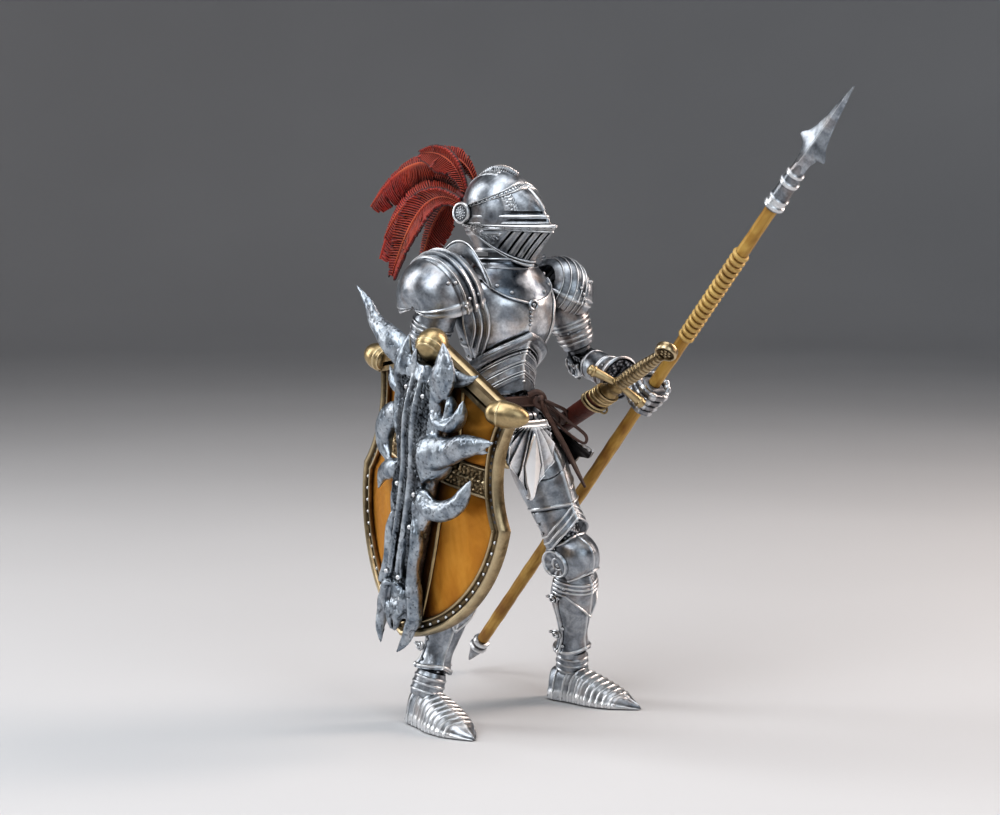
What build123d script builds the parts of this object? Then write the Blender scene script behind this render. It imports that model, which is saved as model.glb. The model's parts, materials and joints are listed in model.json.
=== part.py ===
from build123d import *
import math
import os

# Articulated 1:12 armoured knight with spear, sword and heater shield, all in millimetres.
# The figure faces -Y, its left is +X, and +Z is up. Skeleton points are measured from the middle of the
# stance on the ground; at the end every solid is shifted so that the origin is the middle of the base of
# the bounding box.

# ---------------------------------------------------------------- driving dimensions
HIP_Z = 84.5                 # height of the hip pivots
HIP_X = 9.0                  # half distance between the hip pivots
WAIST_Z = 98.0               # waist pivot
SHOULDER_Z = 127.5
SHOULDER_X = 21.5
NECK_Z = 138.5
HEAD_TURN = 10.0             # degrees the head is turned to its left
THIGH_LENGTH = 41.5
SHIN_LENGTH = 35.5
UPPER_ARM_LENGTH = 24.0
FOREARM_LENGTH = 24.0
HAND_REACH = 10.0            # wrist pivot to the middle of the closed fist

ANKLE = {"right": (-31.2, -4.6, 12.0), "left": (25.1, -3.3, 12.0)}
FOOT_TURN = {"right": -7.0, "left": 17.0}        # degrees outwards of straight ahead, + to the left
FIST_HEIGHT = 97.2           # left fist, on the spear
SHIELD_FIST = (-30.4, -16.0, 84.0)
ELBOW_HINT = {"right": (0.1, 1.0, 0.0), "left": (0.45, 0.67, -0.73)}     # the way each elbow points
HEEL_BACK = 7.2              # ankle pivot to the back of the heel
TOE_AHEAD = 25.4             # ankle pivot to the toe point

PIN_RADIUS = 1.0             # hinge pins
PIN_CLEARANCE = 0.05         # radial, of every pin and peg in its hole
PEG_RADIUS = 1.6             # swivel pegs
PEG_LENGTH = 4.3
DISC_RADIUS = 2.5            # hinge disc of a link
DISC_WIDTH = 2.2
SIDE_GAP = 0.3               # free gap beside a disc
CHEEK_RADIUS = 2.9           # fork cheeks that hold the pin
CHEEK_WIDTH = 1.7
SLOT_RADIUS = 3.45           # slot between the cheeks, round the hinge axis
FLANGE_BOTTOM = 3.2          # link flange, above the hinge axis
FLANGE_RADIUS = 3.4
FLANGE_TOP = 4.2
LIMB_START = 4.5             # where the piece that holds the peg begins, above the hinge axis

SPEAR_BUTT = (28.0, 53.5, 3.2)
SPEAR_TIP = (28.0, -116.9, 184.9)
SPEAR_RADIUS = 1.9
SPEAR_HEAD_LENGTH = 44.0     # blade and socket together
SPEAR_BLADE_LENGTH = 30.0
SPEAR_BUTT_LENGTH = 11.0

SWORD_THROAT = (15.2, -31.3, 98.0)               # middle of the scabbard's mouth
SWORD_DIRECTION = (-0.14, -0.90, 0.40)           # along the blade, towards the pommel
BLADE_LENGTH = 66.0
SCABBARD_LENGTH = 69.0

SHIELD_CENTRE = (-41.5, -16.5, 74.0)             # on the keel line, at the outer face
SHIELD_TILT = 12.0           # top leans forward
SHIELD_KEEL = 8.0            # degrees each half is swept back
SHIELD_HALF_WIDTH = 34.5
SHIELD_TOP = 42.0            # peak above the centre
SHIELD_CORNER = 29.0         # upper corners above the centre
SHIELD_BOTTOM = 47.0         # point below the centre
SHIELD_THICKNESS = 1.5
RIM_WIDTH = 3.6
RIM_PROUD = 1.2
KNOB_RADIUS = 3.3            # at the peak and the two upper corners

SOLE_PEG_RADIUS = 1.6        # display-stand peg holes
SOLE_PEG_DEPTH = 5.0
SHELL = 1.0                  # plate thickness
GRIP_RADIUS = 1.6            # shield handle bar and sword grip
GUARD_HALF_SPAN = 9.8
SWORD_GRIP_LENGTH = 23.0
POMMEL_RADIUS = 3.3
PLUME_PEG = Pos(0, 11.4, 14.6) * Rot(-60, 0, 0)  # in the head's frame, peg along its Z
PAULDRON_RADIUS = {"right": 12.0, "left": 10.5}


FIST_SHARE = (FIST_HEIGHT - SPEAR_BUTT[2]) / (SPEAR_TIP[2] - SPEAR_BUTT[2])
FIST = {
    "right": SHIELD_FIST,
    "left": tuple(b + (t - b) * FIST_SHARE for b, t in zip(SPEAR_BUTT, SPEAR_TIP)),
}


# ---------------------------------------------------------------- small helpers
def vec(p):
    return Vector(*p)


def frame(origin, up, side):
    """A placement whose +Z is `up` and whose +X lies as close to `side` as it can."""
    up, side = vec(up).normalized(), vec(side)
    side = (side - up * side.dot(up)).normalized()
    return Location(Plane(origin=vec(origin), x_dir=side, z_dir=up))


def lathe(profile):
    """Solid of revolution about Z from (radius, z) points listed along the outside."""
    pts = [(0, profile[0][1])] + list(profile) + [(0, profile[-1][1])]
    return revolve(make_face(Polyline(*[(r, 0, z) for r, z in pts], close=True)), Axis.Z)


def stack(sections):
    """Ruled loft through ellipses (z, half width in X, half depth in Y, centre Y)."""
    rings = [Pos(0, cy, z) * Ellipse(a, b) for z, a, b, cy in sections]
    return loft(rings, ruled=True)


def rod(a, b, radius, end_radius=None):
    """Straight round bar or cone from point a to point b."""
    a, b = vec(a), vec(b)
    axis = b - a
    side = (0, 1, 0) if abs(axis.normalized().X) > 0.9 else (1, 0, 0)
    place = frame(a, axis, side) * Pos(0, 0, axis.length / 2)
    if end_radius is None:
        return place * Cylinder(radius, axis.length)
    return place * Cone(radius, end_radius, axis.length)


def two_bone(root, end, first, second, hint):
    """Middle joint of a two-part limb, bent towards `hint`."""
    root, end = vec(root), vec(end)
    line = end - root
    reach = line.length
    along = (first ** 2 - second ** 2 + reach ** 2) / (2 * reach)
    out = math.sqrt(max(first ** 2 - along ** 2, 0.01))
    unit = line.normalized()
    bend = vec(hint)
    bend = (bend - unit * bend.dot(unit)).normalized()
    return root + unit * along + bend * out


def block(x0, x1, y0, y1, z0, z1):
    return Pos((x0 + x1) / 2, (y0 + y1) / 2, (z0 + z1) / 2) * Box(x1 - x0, y1 - y0, z1 - z0)


# ---------------------------------------------------------------- the joint used all over the figure
def link(flange=False):
    """Hinge disc below, swivel peg above. The hinge axis is local X, the peg axis local Z."""
    disc = Rot(0, 90, 0) * Cylinder(DISC_RADIUS, DISC_WIDTH)
    neck = block(-DISC_WIDTH / 2, DISC_WIDTH / 2, -1.4, 1.4, 0, FLANGE_BOTTOM)
    peg = Pos(0, 0, FLANGE_BOTTOM + PEG_LENGTH / 2 + 0.5) * Cylinder(PEG_RADIUS, PEG_LENGTH + 1.0)
    hole = Rot(0, 90, 0) * Cylinder(PIN_RADIUS + PIN_CLEARANCE, 4 * DISC_WIDTH)
    body = disc + neck + peg
    if flange:
        thickness = FLANGE_TOP - FLANGE_BOTTOM
        body += Pos(0, 0, FLANGE_BOTTOM + thickness / 2) * Cylinder(FLANGE_RADIUS, thickness)
    return body - hole


def socket(depth_from):
    """Hole for a link's peg, whose mouth is at z = 0 and which runs to +Z; placed by the caller."""
    depth = PEG_LENGTH + FLANGE_TOP - depth_from + 0.4
    return Pos(0, 0, depth / 2 - 0.5) * Cylinder(PEG_RADIUS + PIN_CLEARANCE, depth + 1.0)


def limb_socket():
    """The same hole, in the frame of the link that goes in it."""
    return Pos(0, 0, LIMB_START) * socket(LIMB_START)


def with_fork(body, place=Pos(0, 0, 0), stem=5.0):
    """Body with a fork and pin on the place's X, a stem down its Z, and a slot for the link."""
    half = DISC_WIDTH / 2 + SIDE_GAP
    width = 2 * (half + CHEEK_WIDTH)
    barrel = Rot(0, 90, 0) * Cylinder(CHEEK_RADIUS, width)
    barrel += block(-width / 2, width / 2, -CHEEK_RADIUS, CHEEK_RADIUS, -stem, 0)
    slot = Rot(0, 90, 0) * Cylinder(SLOT_RADIUS, 2 * half)
    pin = Rot(0, 90, 0) * Cylinder(PIN_RADIUS, width - 0.4)
    return (body + place * barrel) - place * slot + place * pin


def limb(profile, length):
    """Limb piece: fork at the top, turned body, peg hole at its lower end."""
    return with_fork(lathe(profile)) - Pos(0, 0, -length) * limb_socket()


# ---------------------------------------------------------------- skeleton
def skeleton():
    """Every joint's point and axes, and the frame that each limb piece is built in."""
    bones = {}
    for side, sign in (("right", -1), ("left", 1)):
        hip = vec((sign * HIP_X, 0, HIP_Z))
        ankle = vec(ANKLE[side])
        knee = two_bone(hip, ankle, THIGH_LENGTH, SHIN_LENGTH, (sign * 0.15, -1, 0))
        turn = math.radians(FOOT_TURN[side])
        toe = vec((math.sin(turn), -math.cos(turn), 0))
        shoulder = vec((sign * SHOULDER_X, 0, SHOULDER_Z))
        fist = vec(FIST[side])
        hint = ELBOW_HINT[side]
        elbow = two_bone(shoulder, fist, UPPER_ARM_LENGTH, FOREARM_LENGTH + HAND_REACH, hint)
        wrist = elbow + (fist - elbow).normalized() * FOREARM_LENGTH
        bones[side] = {
            "hip": hip, "knee": knee, "ankle": ankle, "toe": toe,
            "shoulder": shoulder, "elbow": elbow, "wrist": wrist, "fist": fist,
            "thigh_up": (hip - knee).normalized(), "shin_up": (knee - ankle).normalized(),
            "arm_up": (shoulder - elbow).normalized(), "fore_up": (elbow - wrist).normalized(),
        }
        b = bones[side]
        b["knee_axis"] = b["thigh_up"].cross(b["shin_up"]).normalized()
        b["elbow_axis"] = b["arm_up"].cross(b["fore_up"]).normalized()
        b["hip_axis"] = vec((1, 0, 0)).cross(b["thigh_up"]).normalized()
        b["raise_axis"] = vec((1, 0, 0)).cross(b["arm_up"]).normalized()
        ankle_side = vec((-toe.Y, toe.X, 0))
        b["ankle_axis"] = (ankle_side - b["shin_up"] * ankle_side.dot(b["shin_up"])).normalized()
        wrist_side = vec((1, 0, 0))
        b["wrist_axis"] = (wrist_side - b["fore_up"] * wrist_side.dot(b["fore_up"])).normalized()
    return bones


BONES = skeleton()
SPEAR_AXIS = (vec(SPEAR_TIP) - vec(SPEAR_BUTT)).normalized()
SWORD_AXIS = vec(SWORD_DIRECTION).normalized()
SHIELD_UP = vec((0, -math.sin(math.radians(SHIELD_TILT)), math.cos(math.radians(SHIELD_TILT))))
SHIELD_REAR = vec((0, math.cos(math.radians(SHIELD_TILT)), math.sin(math.radians(SHIELD_TILT))))
HELD_AXIS = {"left": SPEAR_AXIS, "right": SHIELD_UP}
NECK = (0.0, 0.0, NECK_Z)
HEAD_FRAME = Location((0, 0, NECK_Z), (0, 0, HEAD_TURN))


# ---------------------------------------------------------------- legs
def leg(side):
    b = BONES[side]
    sign = -1 if side == "right" else 1
    parts = {}
    parts["hip_link"] = frame(b["hip"], (-sign, 0, 0), b["hip_axis"]) * link()

    thigh = limb([(3.4, -3.3), (4.8, -6.0), (6.1, -11.0), (6.3, -18.0), (5.6, -27.0), (4.9, -33.0),
                  (3.7, -THIGH_LENGTH + LIMB_START)], THIGH_LENGTH)
    parts["thigh"] = frame(b["hip"], b["thigh_up"], b["hip_axis"]) * thigh

    parts["knee_link"] = frame(b["knee"], b["thigh_up"], b["knee_axis"]) * link(flange=True)
    parts["poleyn"] = frame(b["knee"], b["thigh_up"], b["knee_axis"]) * joint_cap(7.0, 4.4)

    shin = limb([(3.2, -3.3), (4.2, -5.5), (5.3, -9.0), (5.6, -14.0), (4.5, -22.0), (3.8, -26.0),
                 (4.5, -28.6), (4.2, -SHIN_LENGTH + LIMB_START)], SHIN_LENGTH)
    parts["greave"] = frame(b["knee"], b["shin_up"], b["knee_axis"]) * shin

    parts["ankle_link"] = frame(b["ankle"], b["shin_up"], b["ankle_axis"]) * link()
    parts["foot"] = foot(side)
    return parts


def joint_cap(radius, half_height):
    """Domed cap in front of a hinge (-Y), carried by the flange of its link."""
    dome = Sphere(radius) - Sphere(radius - SHELL)
    dome &= block(-radius, radius, -radius, -3.7, -half_height, half_height)
    arch = block(-4.4, 4.4, -radius + 1.2, -2.0, FLANGE_BOTTOM + 0.1, FLANGE_TOP - 0.1)
    arch &= Pos(0, 0, FLANGE_TOP / 2) * Cylinder(radius, 2 * FLANGE_TOP)
    return dome + (arch - Cylinder(FLANGE_RADIUS, 4 * FLANGE_TOP))


def foot(side):
    """Sabaton with its sole flat at ankle height below the pivot, toe towards -Y."""
    ground = -ANKLE["left"][2]
    side_view = Polyline((HEEL_BACK, ground), (-TOE_AHEAD, ground), (-TOE_AHEAD + 0.6, ground + 1.9),
                         (-17.0, ground + 5.6), (-9.0, ground + 7.6), (-4.4, -3.4), (4.4, -3.4),
                         (HEEL_BACK - 0.8, ground + 5.0), close=True)
    shape = extrude(Plane.YZ * make_face(side_view), 6.2, both=True)
    plan = make_face(Polyline((-3.2, HEEL_BACK), (-4.4, 4.5), (-4.6, -2.0), (-5.6, -10.0), (-5.0, -17.0),
                              (-0.9, -TOE_AHEAD), (0.9, -TOE_AHEAD), (5.0, -17.0), (5.6, -10.0),
                              (4.6, -2.0), (4.4, 4.5), (3.2, HEEL_BACK), close=True))
    shape &= extrude(Pos(0, 0, ground) * plan, 12)
    peg_hole = Pos(0, -4.0, ground + SOLE_PEG_DEPTH / 2) * Cylinder(SOLE_PEG_RADIUS, SOLE_PEG_DEPTH)
    b = BONES[side]
    shape = frame(b["ankle"], (0, 0, 1), (-b["toe"].Y, b["toe"].X, 0)) * (shape - peg_hole)
    upright = vec((0, 0, 1)) - b["ankle_axis"] * b["ankle_axis"].Z
    return with_fork(shape, frame(b["ankle"], tuple(upright), b["ankle_axis"]), 4.4)


# ---------------------------------------------------------------- arms
def arm(side):
    b = BONES[side]
    sign = -1 if side == "right" else 1
    parts = {}
    parts["shoulder_link"] = frame(b["shoulder"], (-sign, 0, 0), b["raise_axis"]) * link()

    upper = limb([(3.3, -3.3), (4.5, -5.5), (4.8, -10.0), (4.3, -15.0),
                  (3.5, -UPPER_ARM_LENGTH + LIMB_START)], UPPER_ARM_LENGTH)
    parts["upper_arm"] = frame(b["shoulder"], b["arm_up"], b["raise_axis"]) * upper

    parts["elbow_link"] = frame(b["elbow"], b["arm_up"], b["elbow_axis"]) * link(flange=True)
    parts["couter"] = frame(b["elbow"], b["arm_up"], b["elbow_axis"]) * joint_cap(6.6, 4.2)

    fore = limb([(3.1, -3.3), (4.2, -5.5), (4.3, -9.0), (4.0, -12.0), (4.6, -15.0),
                 (5.8, -FOREARM_LENGTH + LIMB_START)], FOREARM_LENGTH)
    parts["forearm"] = frame(b["elbow"], b["fore_up"], b["elbow_axis"]) * fore

    parts["wrist_link"] = frame(b["wrist"], b["fore_up"], b["wrist_axis"]) * link()
    parts["hand"] = hand(side)
    return parts


def hand(side):
    """Closed fist with a round grip hole along whatever it holds."""
    b = BONES[side]
    held = HELD_AXIS[side]
    palm = fillet(Box(7.0, 7.2, 8.4).edges(), 1.4)
    fist = frame(b["fist"], held, (1, 0, 0)) * palm
    wrist = frame(b["wrist"], b["fore_up"], b["wrist_axis"])
    back_of_hand = wrist * block(-2.9, 2.9, -2.6, 2.6, -8.0, -3.2)
    body = with_fork(fist + back_of_hand, wrist, 4.0)
    radius = SPEAR_RADIUS if side == "left" else GRIP_RADIUS
    hole = frame(b["fist"], held, (1, 0, 0)) * Cylinder(radius + PIN_CLEARANCE, 14)
    return body - hole


# ---------------------------------------------------------------- trunk
TORSO = [(101.4, 9.4, 7.2, 0.0), (106.0, 9.8, 7.4, 0.0), (111.5, 12.4, 9.0, -0.4),
         (115.0, 13.8, 10.4, -0.8), (122.0, 14.6, 11.6, -0.8), (128.0, 14.2, 10.6, -0.4),
         (134.0, 9.4, 8.0, 0.4)]
TORSO_TOP = TORSO[-1][0]
PLATE_BOTTOM = 105.0
FAULD = [(73.5, 18.0, 14.0, 0.4), (82.5, 15.6, 11.2, 0.0), (88.5, 12.0, 9.0, 0), (91.0, 9.6, 8.0, 0)]
FAULD_HEM = 84.0
PELVIS_TOP = WAIST_Z - LIMB_START
LUG_RADIUS = 1.7             # small hinges of the pauldrons and the front tasset
LUG_WIDTH = 2.0
LUG_PIN = 0.8
TASSET_HINGE = (0.0, -12.2, 90.0)
TASSET_TIP_Z = 65.8
PAULDRON_HINGE = (13.5, 1.4, 136.6)


def grown(sections, by):
    return [(z, a + by, b + by, cy) for z, a, b, cy in sections]


def lug():
    """Small round eye on local X, hanging below its axis on a stalk that runs down 4 mm."""
    eye = Rot(0, 90, 0) * Cylinder(LUG_RADIUS, LUG_WIDTH)
    eye += block(-LUG_WIDTH / 2, LUG_WIDTH / 2, -LUG_RADIUS, LUG_RADIUS, -4.0, 0)
    return eye - Rot(0, 90, 0) * Cylinder(LUG_PIN + PIN_CLEARANCE, 2 * LUG_WIDTH)


def lug_fork(reach):
    """Two ears and a pin round a lug, on arms that run up to z = reach."""
    inner = LUG_WIDTH / 2 + 0.25
    ears = None
    for sign in (-1, 1):
        x0, x1 = sorted((sign * inner, sign * (inner + 1.2)))
        ear = Pos((x0 + x1) / 2, 0, 0) * Rot(0, 90, 0) * Cylinder(LUG_RADIUS, 1.2)
        ear += block(x0, x1, -LUG_RADIUS, LUG_RADIUS, 0, reach)
        ears = ear if ears is None else ears + ear
    return ears + Rot(0, 90, 0) * Cylinder(LUG_PIN, 2 * inner + 2.0)


def trunk():
    parts = {}
    waist = frame((0, 0, WAIST_Z), (0, 0, -1), (1, 0, 0))
    parts["waist_link"] = waist * link()

    drum = stack([(89.0, 8.0, 6.8, 0), (PELVIS_TOP, 8.0, 6.8, 0)])
    pelvis = block(-4.4, 4.4, -5.6, 5.6, 79.5, 89.0) + drum
    for side in BONES:
        inward = (1, 0, 0) if side == "right" else (-1, 0, 0)
        pelvis -= frame(BONES[side]["hip"], inward, (0, 1, 0)) * limb_socket()
    parts["pelvis_core"] = pelvis - waist * limb_socket()

    skirt = stack(grown(FAULD, SHELL)) - stack(FAULD)
    skirt &= block(-30, 30, -30, 30, FAULD_HEM, 91.0)
    collar_solid = stack([(90.4, 10.6, 9.0, 0), (PELVIS_TOP, 9.6, 8.2, 0)])
    collar = collar_solid - drum
    hinge_post = Pos(*TASSET_HINGE) * lug()
    hinge_post += block(-1.0, 1.0, TASSET_HINGE[1], -8.4, 85.4, 88.2)
    fauld = skirt + collar + (hinge_post - stack(grown(FAULD, SHELL)))
    parts["fauld"] = fauld

    belt = stack([(91.2, 11.6, 9.9, 0), (PELVIS_TOP, 11.0, 9.4, 0)]) - collar_solid
    belt += frog_hanger() - stack(grown(FAULD, SHELL)) - collar_solid
    parts["belt"] = belt - fauld - pelvis

    tail = stack(grown(FAULD, 2 * SHELL)) - stack(grown(FAULD, SHELL))
    parts["rear_skirt"] = tail & block(-4.0, 30, 3.0, 30, 73.5, 91.0)
    parts["front_tasset"] = tasset()

    core = stack(TORSO) + stack([(97.0, 9.0, 7.0, 0), (101.4, 9.4, 7.2, 0)])
    core -= stack([(96.0, 7.8, 5.8, 0), (101.4, 7.8, 5.8, 0)])
    across = Pos(0, 0, SHOULDER_Z) * Rot(0, 90, 0)
    half_boss = SHOULDER_X - LIMB_START
    boss = across * Cylinder(3.2, 2 * half_boss)
    core = with_fork(core + boss, waist)
    for side, sign in (("right", -1), ("left", 1)):
        core -= frame(BONES[side]["shoulder"], (-sign, 0, 0), (0, 1, 0)) * limb_socket()
    neck = frame(NECK, (0, 0, -1), (1, 0, 0))
    parts["torso_core"] = core - neck * limb_socket()

    shell = stack(grown(TORSO, SHELL)) - stack(TORSO)
    front = shell & block(-30, 30, -30, 0, PLATE_BOTTOM, TORSO_TOP)
    hem = stack([(113.6, 16.4, 13.2, -1.0), (115.2, 15.0, 11.9, -0.9)]) - stack(grown(TORSO, SHELL))
    front += hem & block(-30, 30, -30, -3, 110, 120)
    parts["breastplate"] = front - stack(TORSO) - boss
    back = shell & block(-30, 30, 0, 30, PLATE_BOTTOM, TORSO_TOP)
    for sign in (-1, 1):
        post = pauldron_hinge(sign) * lug()
        post += block(*sorted((sign * 12.4, sign * 14.6)), 0.2, 2.6, 128.0, 134.0)
        back += post - stack(grown(TORSO, SHELL))
    parts["backplate"] = back - boss

    gorget = stack([(TORSO_TOP, 9.6, 8.8, 0.2), (137.4, 7.9, 7.9, 0)]) - Pos(0, 0, 136) * Cylinder(6.0, 6)
    parts["gorget"] = gorget
    return parts


def frog_hanger():
    """Arm from the belt to the scabbard's pivot, with the pivot hole along X."""
    x, y, z = FROG_PIVOT
    arm_piece = block(8.0, x - 3.1, y - 1.9, y + 1.9, z - 1.9, z + 1.9)
    arm_piece += block(6.0, 10.5, y - 1.9, y + 1.9, z - 1.0, PELVIS_TOP)
    return arm_piece - Pos(x - 4, y, z) * Rot(0, 90, 0) * Cylinder(PIN_RADIUS + PIN_CLEARANCE, 9.0)


def tasset():
    """Fluted fan plate hanging in front of the fork of the legs."""
    x, y, z = TASSET_HINGE
    drop = z - TASSET_TIP_Z
    flank = [(4.6, -0.4), (7.6, -drop * 0.42), (5.8, -drop * 0.62), (2.6, -drop * 0.8)]
    other_flank = [(-across, down) for across, down in reversed(flank)]
    fan = make_face(Polyline(*flank, (0, -drop), *other_flank, close=True))
    plate = Rot(2.0, 0, 0) * (Pos(0, -2.0, 0) * extrude(Plane.XZ * fan, 1.2))
    return Pos(x, y, z) * (plate + Rot(90, 0, 0) * lug_fork(2.8))


def pauldron_hinge(sign):
    """Frame of a shoulder plate's hinge: axis along Y, stalk downwards."""
    return Pos(sign * PAULDRON_HINGE[0], PAULDRON_HINGE[1], PAULDRON_HINGE[2]) * Rot(0, 0, 90)


def pauldron(side):
    sign = -1 if side == "right" else 1
    radius = PAULDRON_RADIUS[side]
    centre = Pos(sign * 22.6, 0, 126.6)
    dome = centre * (Sphere(radius) - Sphere(radius - SHELL))
    dome &= block(*sorted((sign * 16.2, sign * 40)), -13, 13, 122.6, 140)
    x, y, z = sign * PAULDRON_HINGE[0], PAULDRON_HINGE[1], PAULDRON_HINGE[2]
    ears = frame((x, y, z), (sign, 0, 0), (0, 1, 0)) * lug_fork(3.6)
    bridge = block(*sorted((x + sign * 2.4, x + sign * 6.0)), y - 2.45, y + 2.45, z - 1.7, z + 1.7)
    bridge -= centre * Sphere(radius - SHELL)
    piece = dome + ears + bridge
    if side == "right":
        fin = block(-19.6, -18.4, -6.5, 4.5, 134.0, 142.5) - centre * Sphere(radius - SHELL)
        piece += fin
    return piece


# ---------------------------------------------------------------- head
SKULL = [(2.4, 6.6, 7.0, 0.8), (7.0, 8.6, 10.0, 1.2), (13.0, 8.6, 10.4, 1.2), (17.0, 8.0, 9.8, 1.2),
         (21.0, 6.0, 7.6, 1.2), (24.0, 2.8, 3.8, 1.2)]
VISOR_PIVOT = (6.0, 12.2)    # y and z in the head's frame
VISOR_HALF_WIDTH = 11.0
VISOR_SPLIT = 8.9            # brow piece above, face grille below


def head():
    parts = {}
    neck = frame((0, 0, 0), (0, 0, -1), (1, 0, 0))
    parts["neck_link"] = neck * link()
    tube = PLUME_PEG * Cylinder(2.2, 6.0)
    socket_hole = PLUME_PEG * Cylinder(1.3 + PIN_CLEARANCE, 6.4)
    helmet = stack(grown(SKULL, SHELL)) - stack(SKULL)
    comb = block(-0.8, 0.8, -5.0, 8.5, 19.0, 26.4) - stack(grown(SKULL, SHELL))
    comb &= Pos(0, 2.4, 12.8) * Rot(0, 90, 0) * Cylinder(13.4, 4)
    helmet += comb + (tube - stack(grown(SKULL, SHELL)))
    pivot = Pos(0, VISOR_PIVOT[0], VISOR_PIVOT[1]) * Rot(0, 90, 0)
    pin_hole = pivot * Cylinder(PIN_RADIUS, 2 * VISOR_HALF_WIDTH)
    parts["helmet"] = helmet - socket_hole - pin_hole
    core = with_fork(stack(SKULL), neck)
    parts["head_core"] = core - socket_hole - (pin_hole - block(-7, 7, -20, 20, 0, 30))
    bosses = None
    for sign in (-1, 1):
        pin = pivot * Cylinder(PIN_RADIUS, 26) & block(*sorted((sign * 7.0, sign * 13.0)), -20, 30, 0, 30)
        cap = Pos(sign * (VISOR_HALF_WIDTH + 0.75), 0, 0) * pivot * Cylinder(3.2, 0.9)
        boss = pin + cap
        bosses = boss if bosses is None else bosses + boss
    bosses &= block(-VISOR_HALF_WIDTH - 1.2, VISOR_HALF_WIDTH + 1.2, -20, 30, 0, 30)
    parts["visor_pivots"] = bosses

    full = prow()
    hole = pivot * Cylinder(PIN_RADIUS + PIN_CLEARANCE, 40)
    parts["visor"] = (full & block(-14, 14, -30, 12, VISOR_SPLIT, 30)) - hole
    parts["face_grille"] = (full & block(-14, 14, -30, 3.0, -8, VISOR_SPLIT)) - hole
    parts["plume"] = plume()
    return {name: HEAD_FRAME * piece for name, piece in parts.items()}


def prow():
    """Pointed visor shell, both pieces together, in the head's frame."""
    side = make_face(Polyline((9.4, 17.0), (-9.0, 17.6), (-16.6, 12.8), (-17.6, 9.4), (-22.6, 8.4),
                              (-11.6, -4.0), (-9.6, -1.0), (0.5, 6.4), (9.4, 8.0), close=True))
    w = VISOR_HALF_WIDTH
    top = make_face(Polyline((-w, 9.4), (-w, -1.0), (-5.6, -17.5), (0, -22.6), (5.6, -17.5), (w, -1.0),
                             (w, 9.4), close=True))
    outer = extrude(Plane.YZ * side, 20, both=True) & extrude(Pos(0, 0, -10) * top, 40)
    inner_side = offset(side, amount=-SHELL)
    inner_top = offset(top, amount=-SHELL)
    inner_column = extrude(Pos(0, 0, -10) * inner_top, 40)
    inner = extrude(Plane.YZ * inner_side, 20, both=True) & inner_column
    shell = outer - inner - block(-7.2, 7.2, -9.8, 12, -6, 20) - block(-w, w, 8.2, 12, -6, 20)
    shell -= inner_column & block(-14, 14, -9.6, 9.4, -6, 8.0)
    shell -= stack(grown(SKULL, SHELL + 0.35))
    return shell


def feather(root, bend, tip, width, x0, thickness):
    """Flat curved feather in a YZ plane, along a quadratic curve, widest past its middle."""
    steps = 8
    left, right = [], []
    for i in range(steps + 1):
        t = i / steps
        y = (1 - t) ** 2 * root[0] + 2 * t * (1 - t) * bend[0] + t * t * tip[0]
        z = (1 - t) ** 2 * root[1] + 2 * t * (1 - t) * bend[1] + t * t * tip[1]
        dy = 2 * (1 - t) * (bend[0] - root[0]) + 2 * t * (tip[0] - bend[0])
        dz = 2 * (1 - t) * (bend[1] - root[1]) + 2 * t * (tip[1] - bend[1])
        size = math.hypot(dy, dz)
        half = width * (0.22 + 0.78 * math.sin(math.pi * min(1.0, 0.12 + 0.8 * t)) ** 0.8) / 2
        left.append((y - dz / size * half, z + dy / size * half))
        right.append((y + dz / size * half, z - dy / size * half))
    outline = make_face(Polyline(*left, *reversed(right), close=True))
    return Pos(x0, 0, 0) * extrude(Plane.YZ * outline, thickness / 2, both=True)


def plume():
    """Swept-back ostrich plume on a peg in the helmet's holder."""
    root = (15.0, 17.0)
    body = feather(root, (33, 45), (58.0, 16.0), 15.0, 0.0, 4.0)
    body += feather(root, (41, 31), (57.0, 1.0), 14.0, 3.0, 4.0)
    body += feather(root, (31, 20), (47.0, -8.0), 13.0, -3.0, 4.0)
    body += feather(root, (24, 36), (41.0, 27.0), 8.0, 4.4, 3.6)
    peg = PLUME_PEG * Pos(0, 0, 1.6) * Cylinder(1.3, 6.0)
    collar = PLUME_PEG * Pos(0, 0, 4.3) * Cylinder(2.2, 1.8)
    cut = PLUME_PEG * Pos(0, 0, -6.6) * Cylinder(6.0, 20.0)
    return (body - cut) + peg + collar


# ---------------------------------------------------------------- weapons
SPEAR_LENGTH = (vec(SPEAR_TIP) - vec(SPEAR_BUTT)).length
SPEAR_FRAME = frame(SPEAR_BUTT, SPEAR_AXIS, (1, 0, 0))
SWORD_FRAME = frame(SWORD_THROAT, SWORD_AXIS, (0.75, -0.33, -0.56))
FROG_PIVOT = tuple(vec(SWORD_THROAT) - SWORD_AXIS * 23.5)


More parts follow.
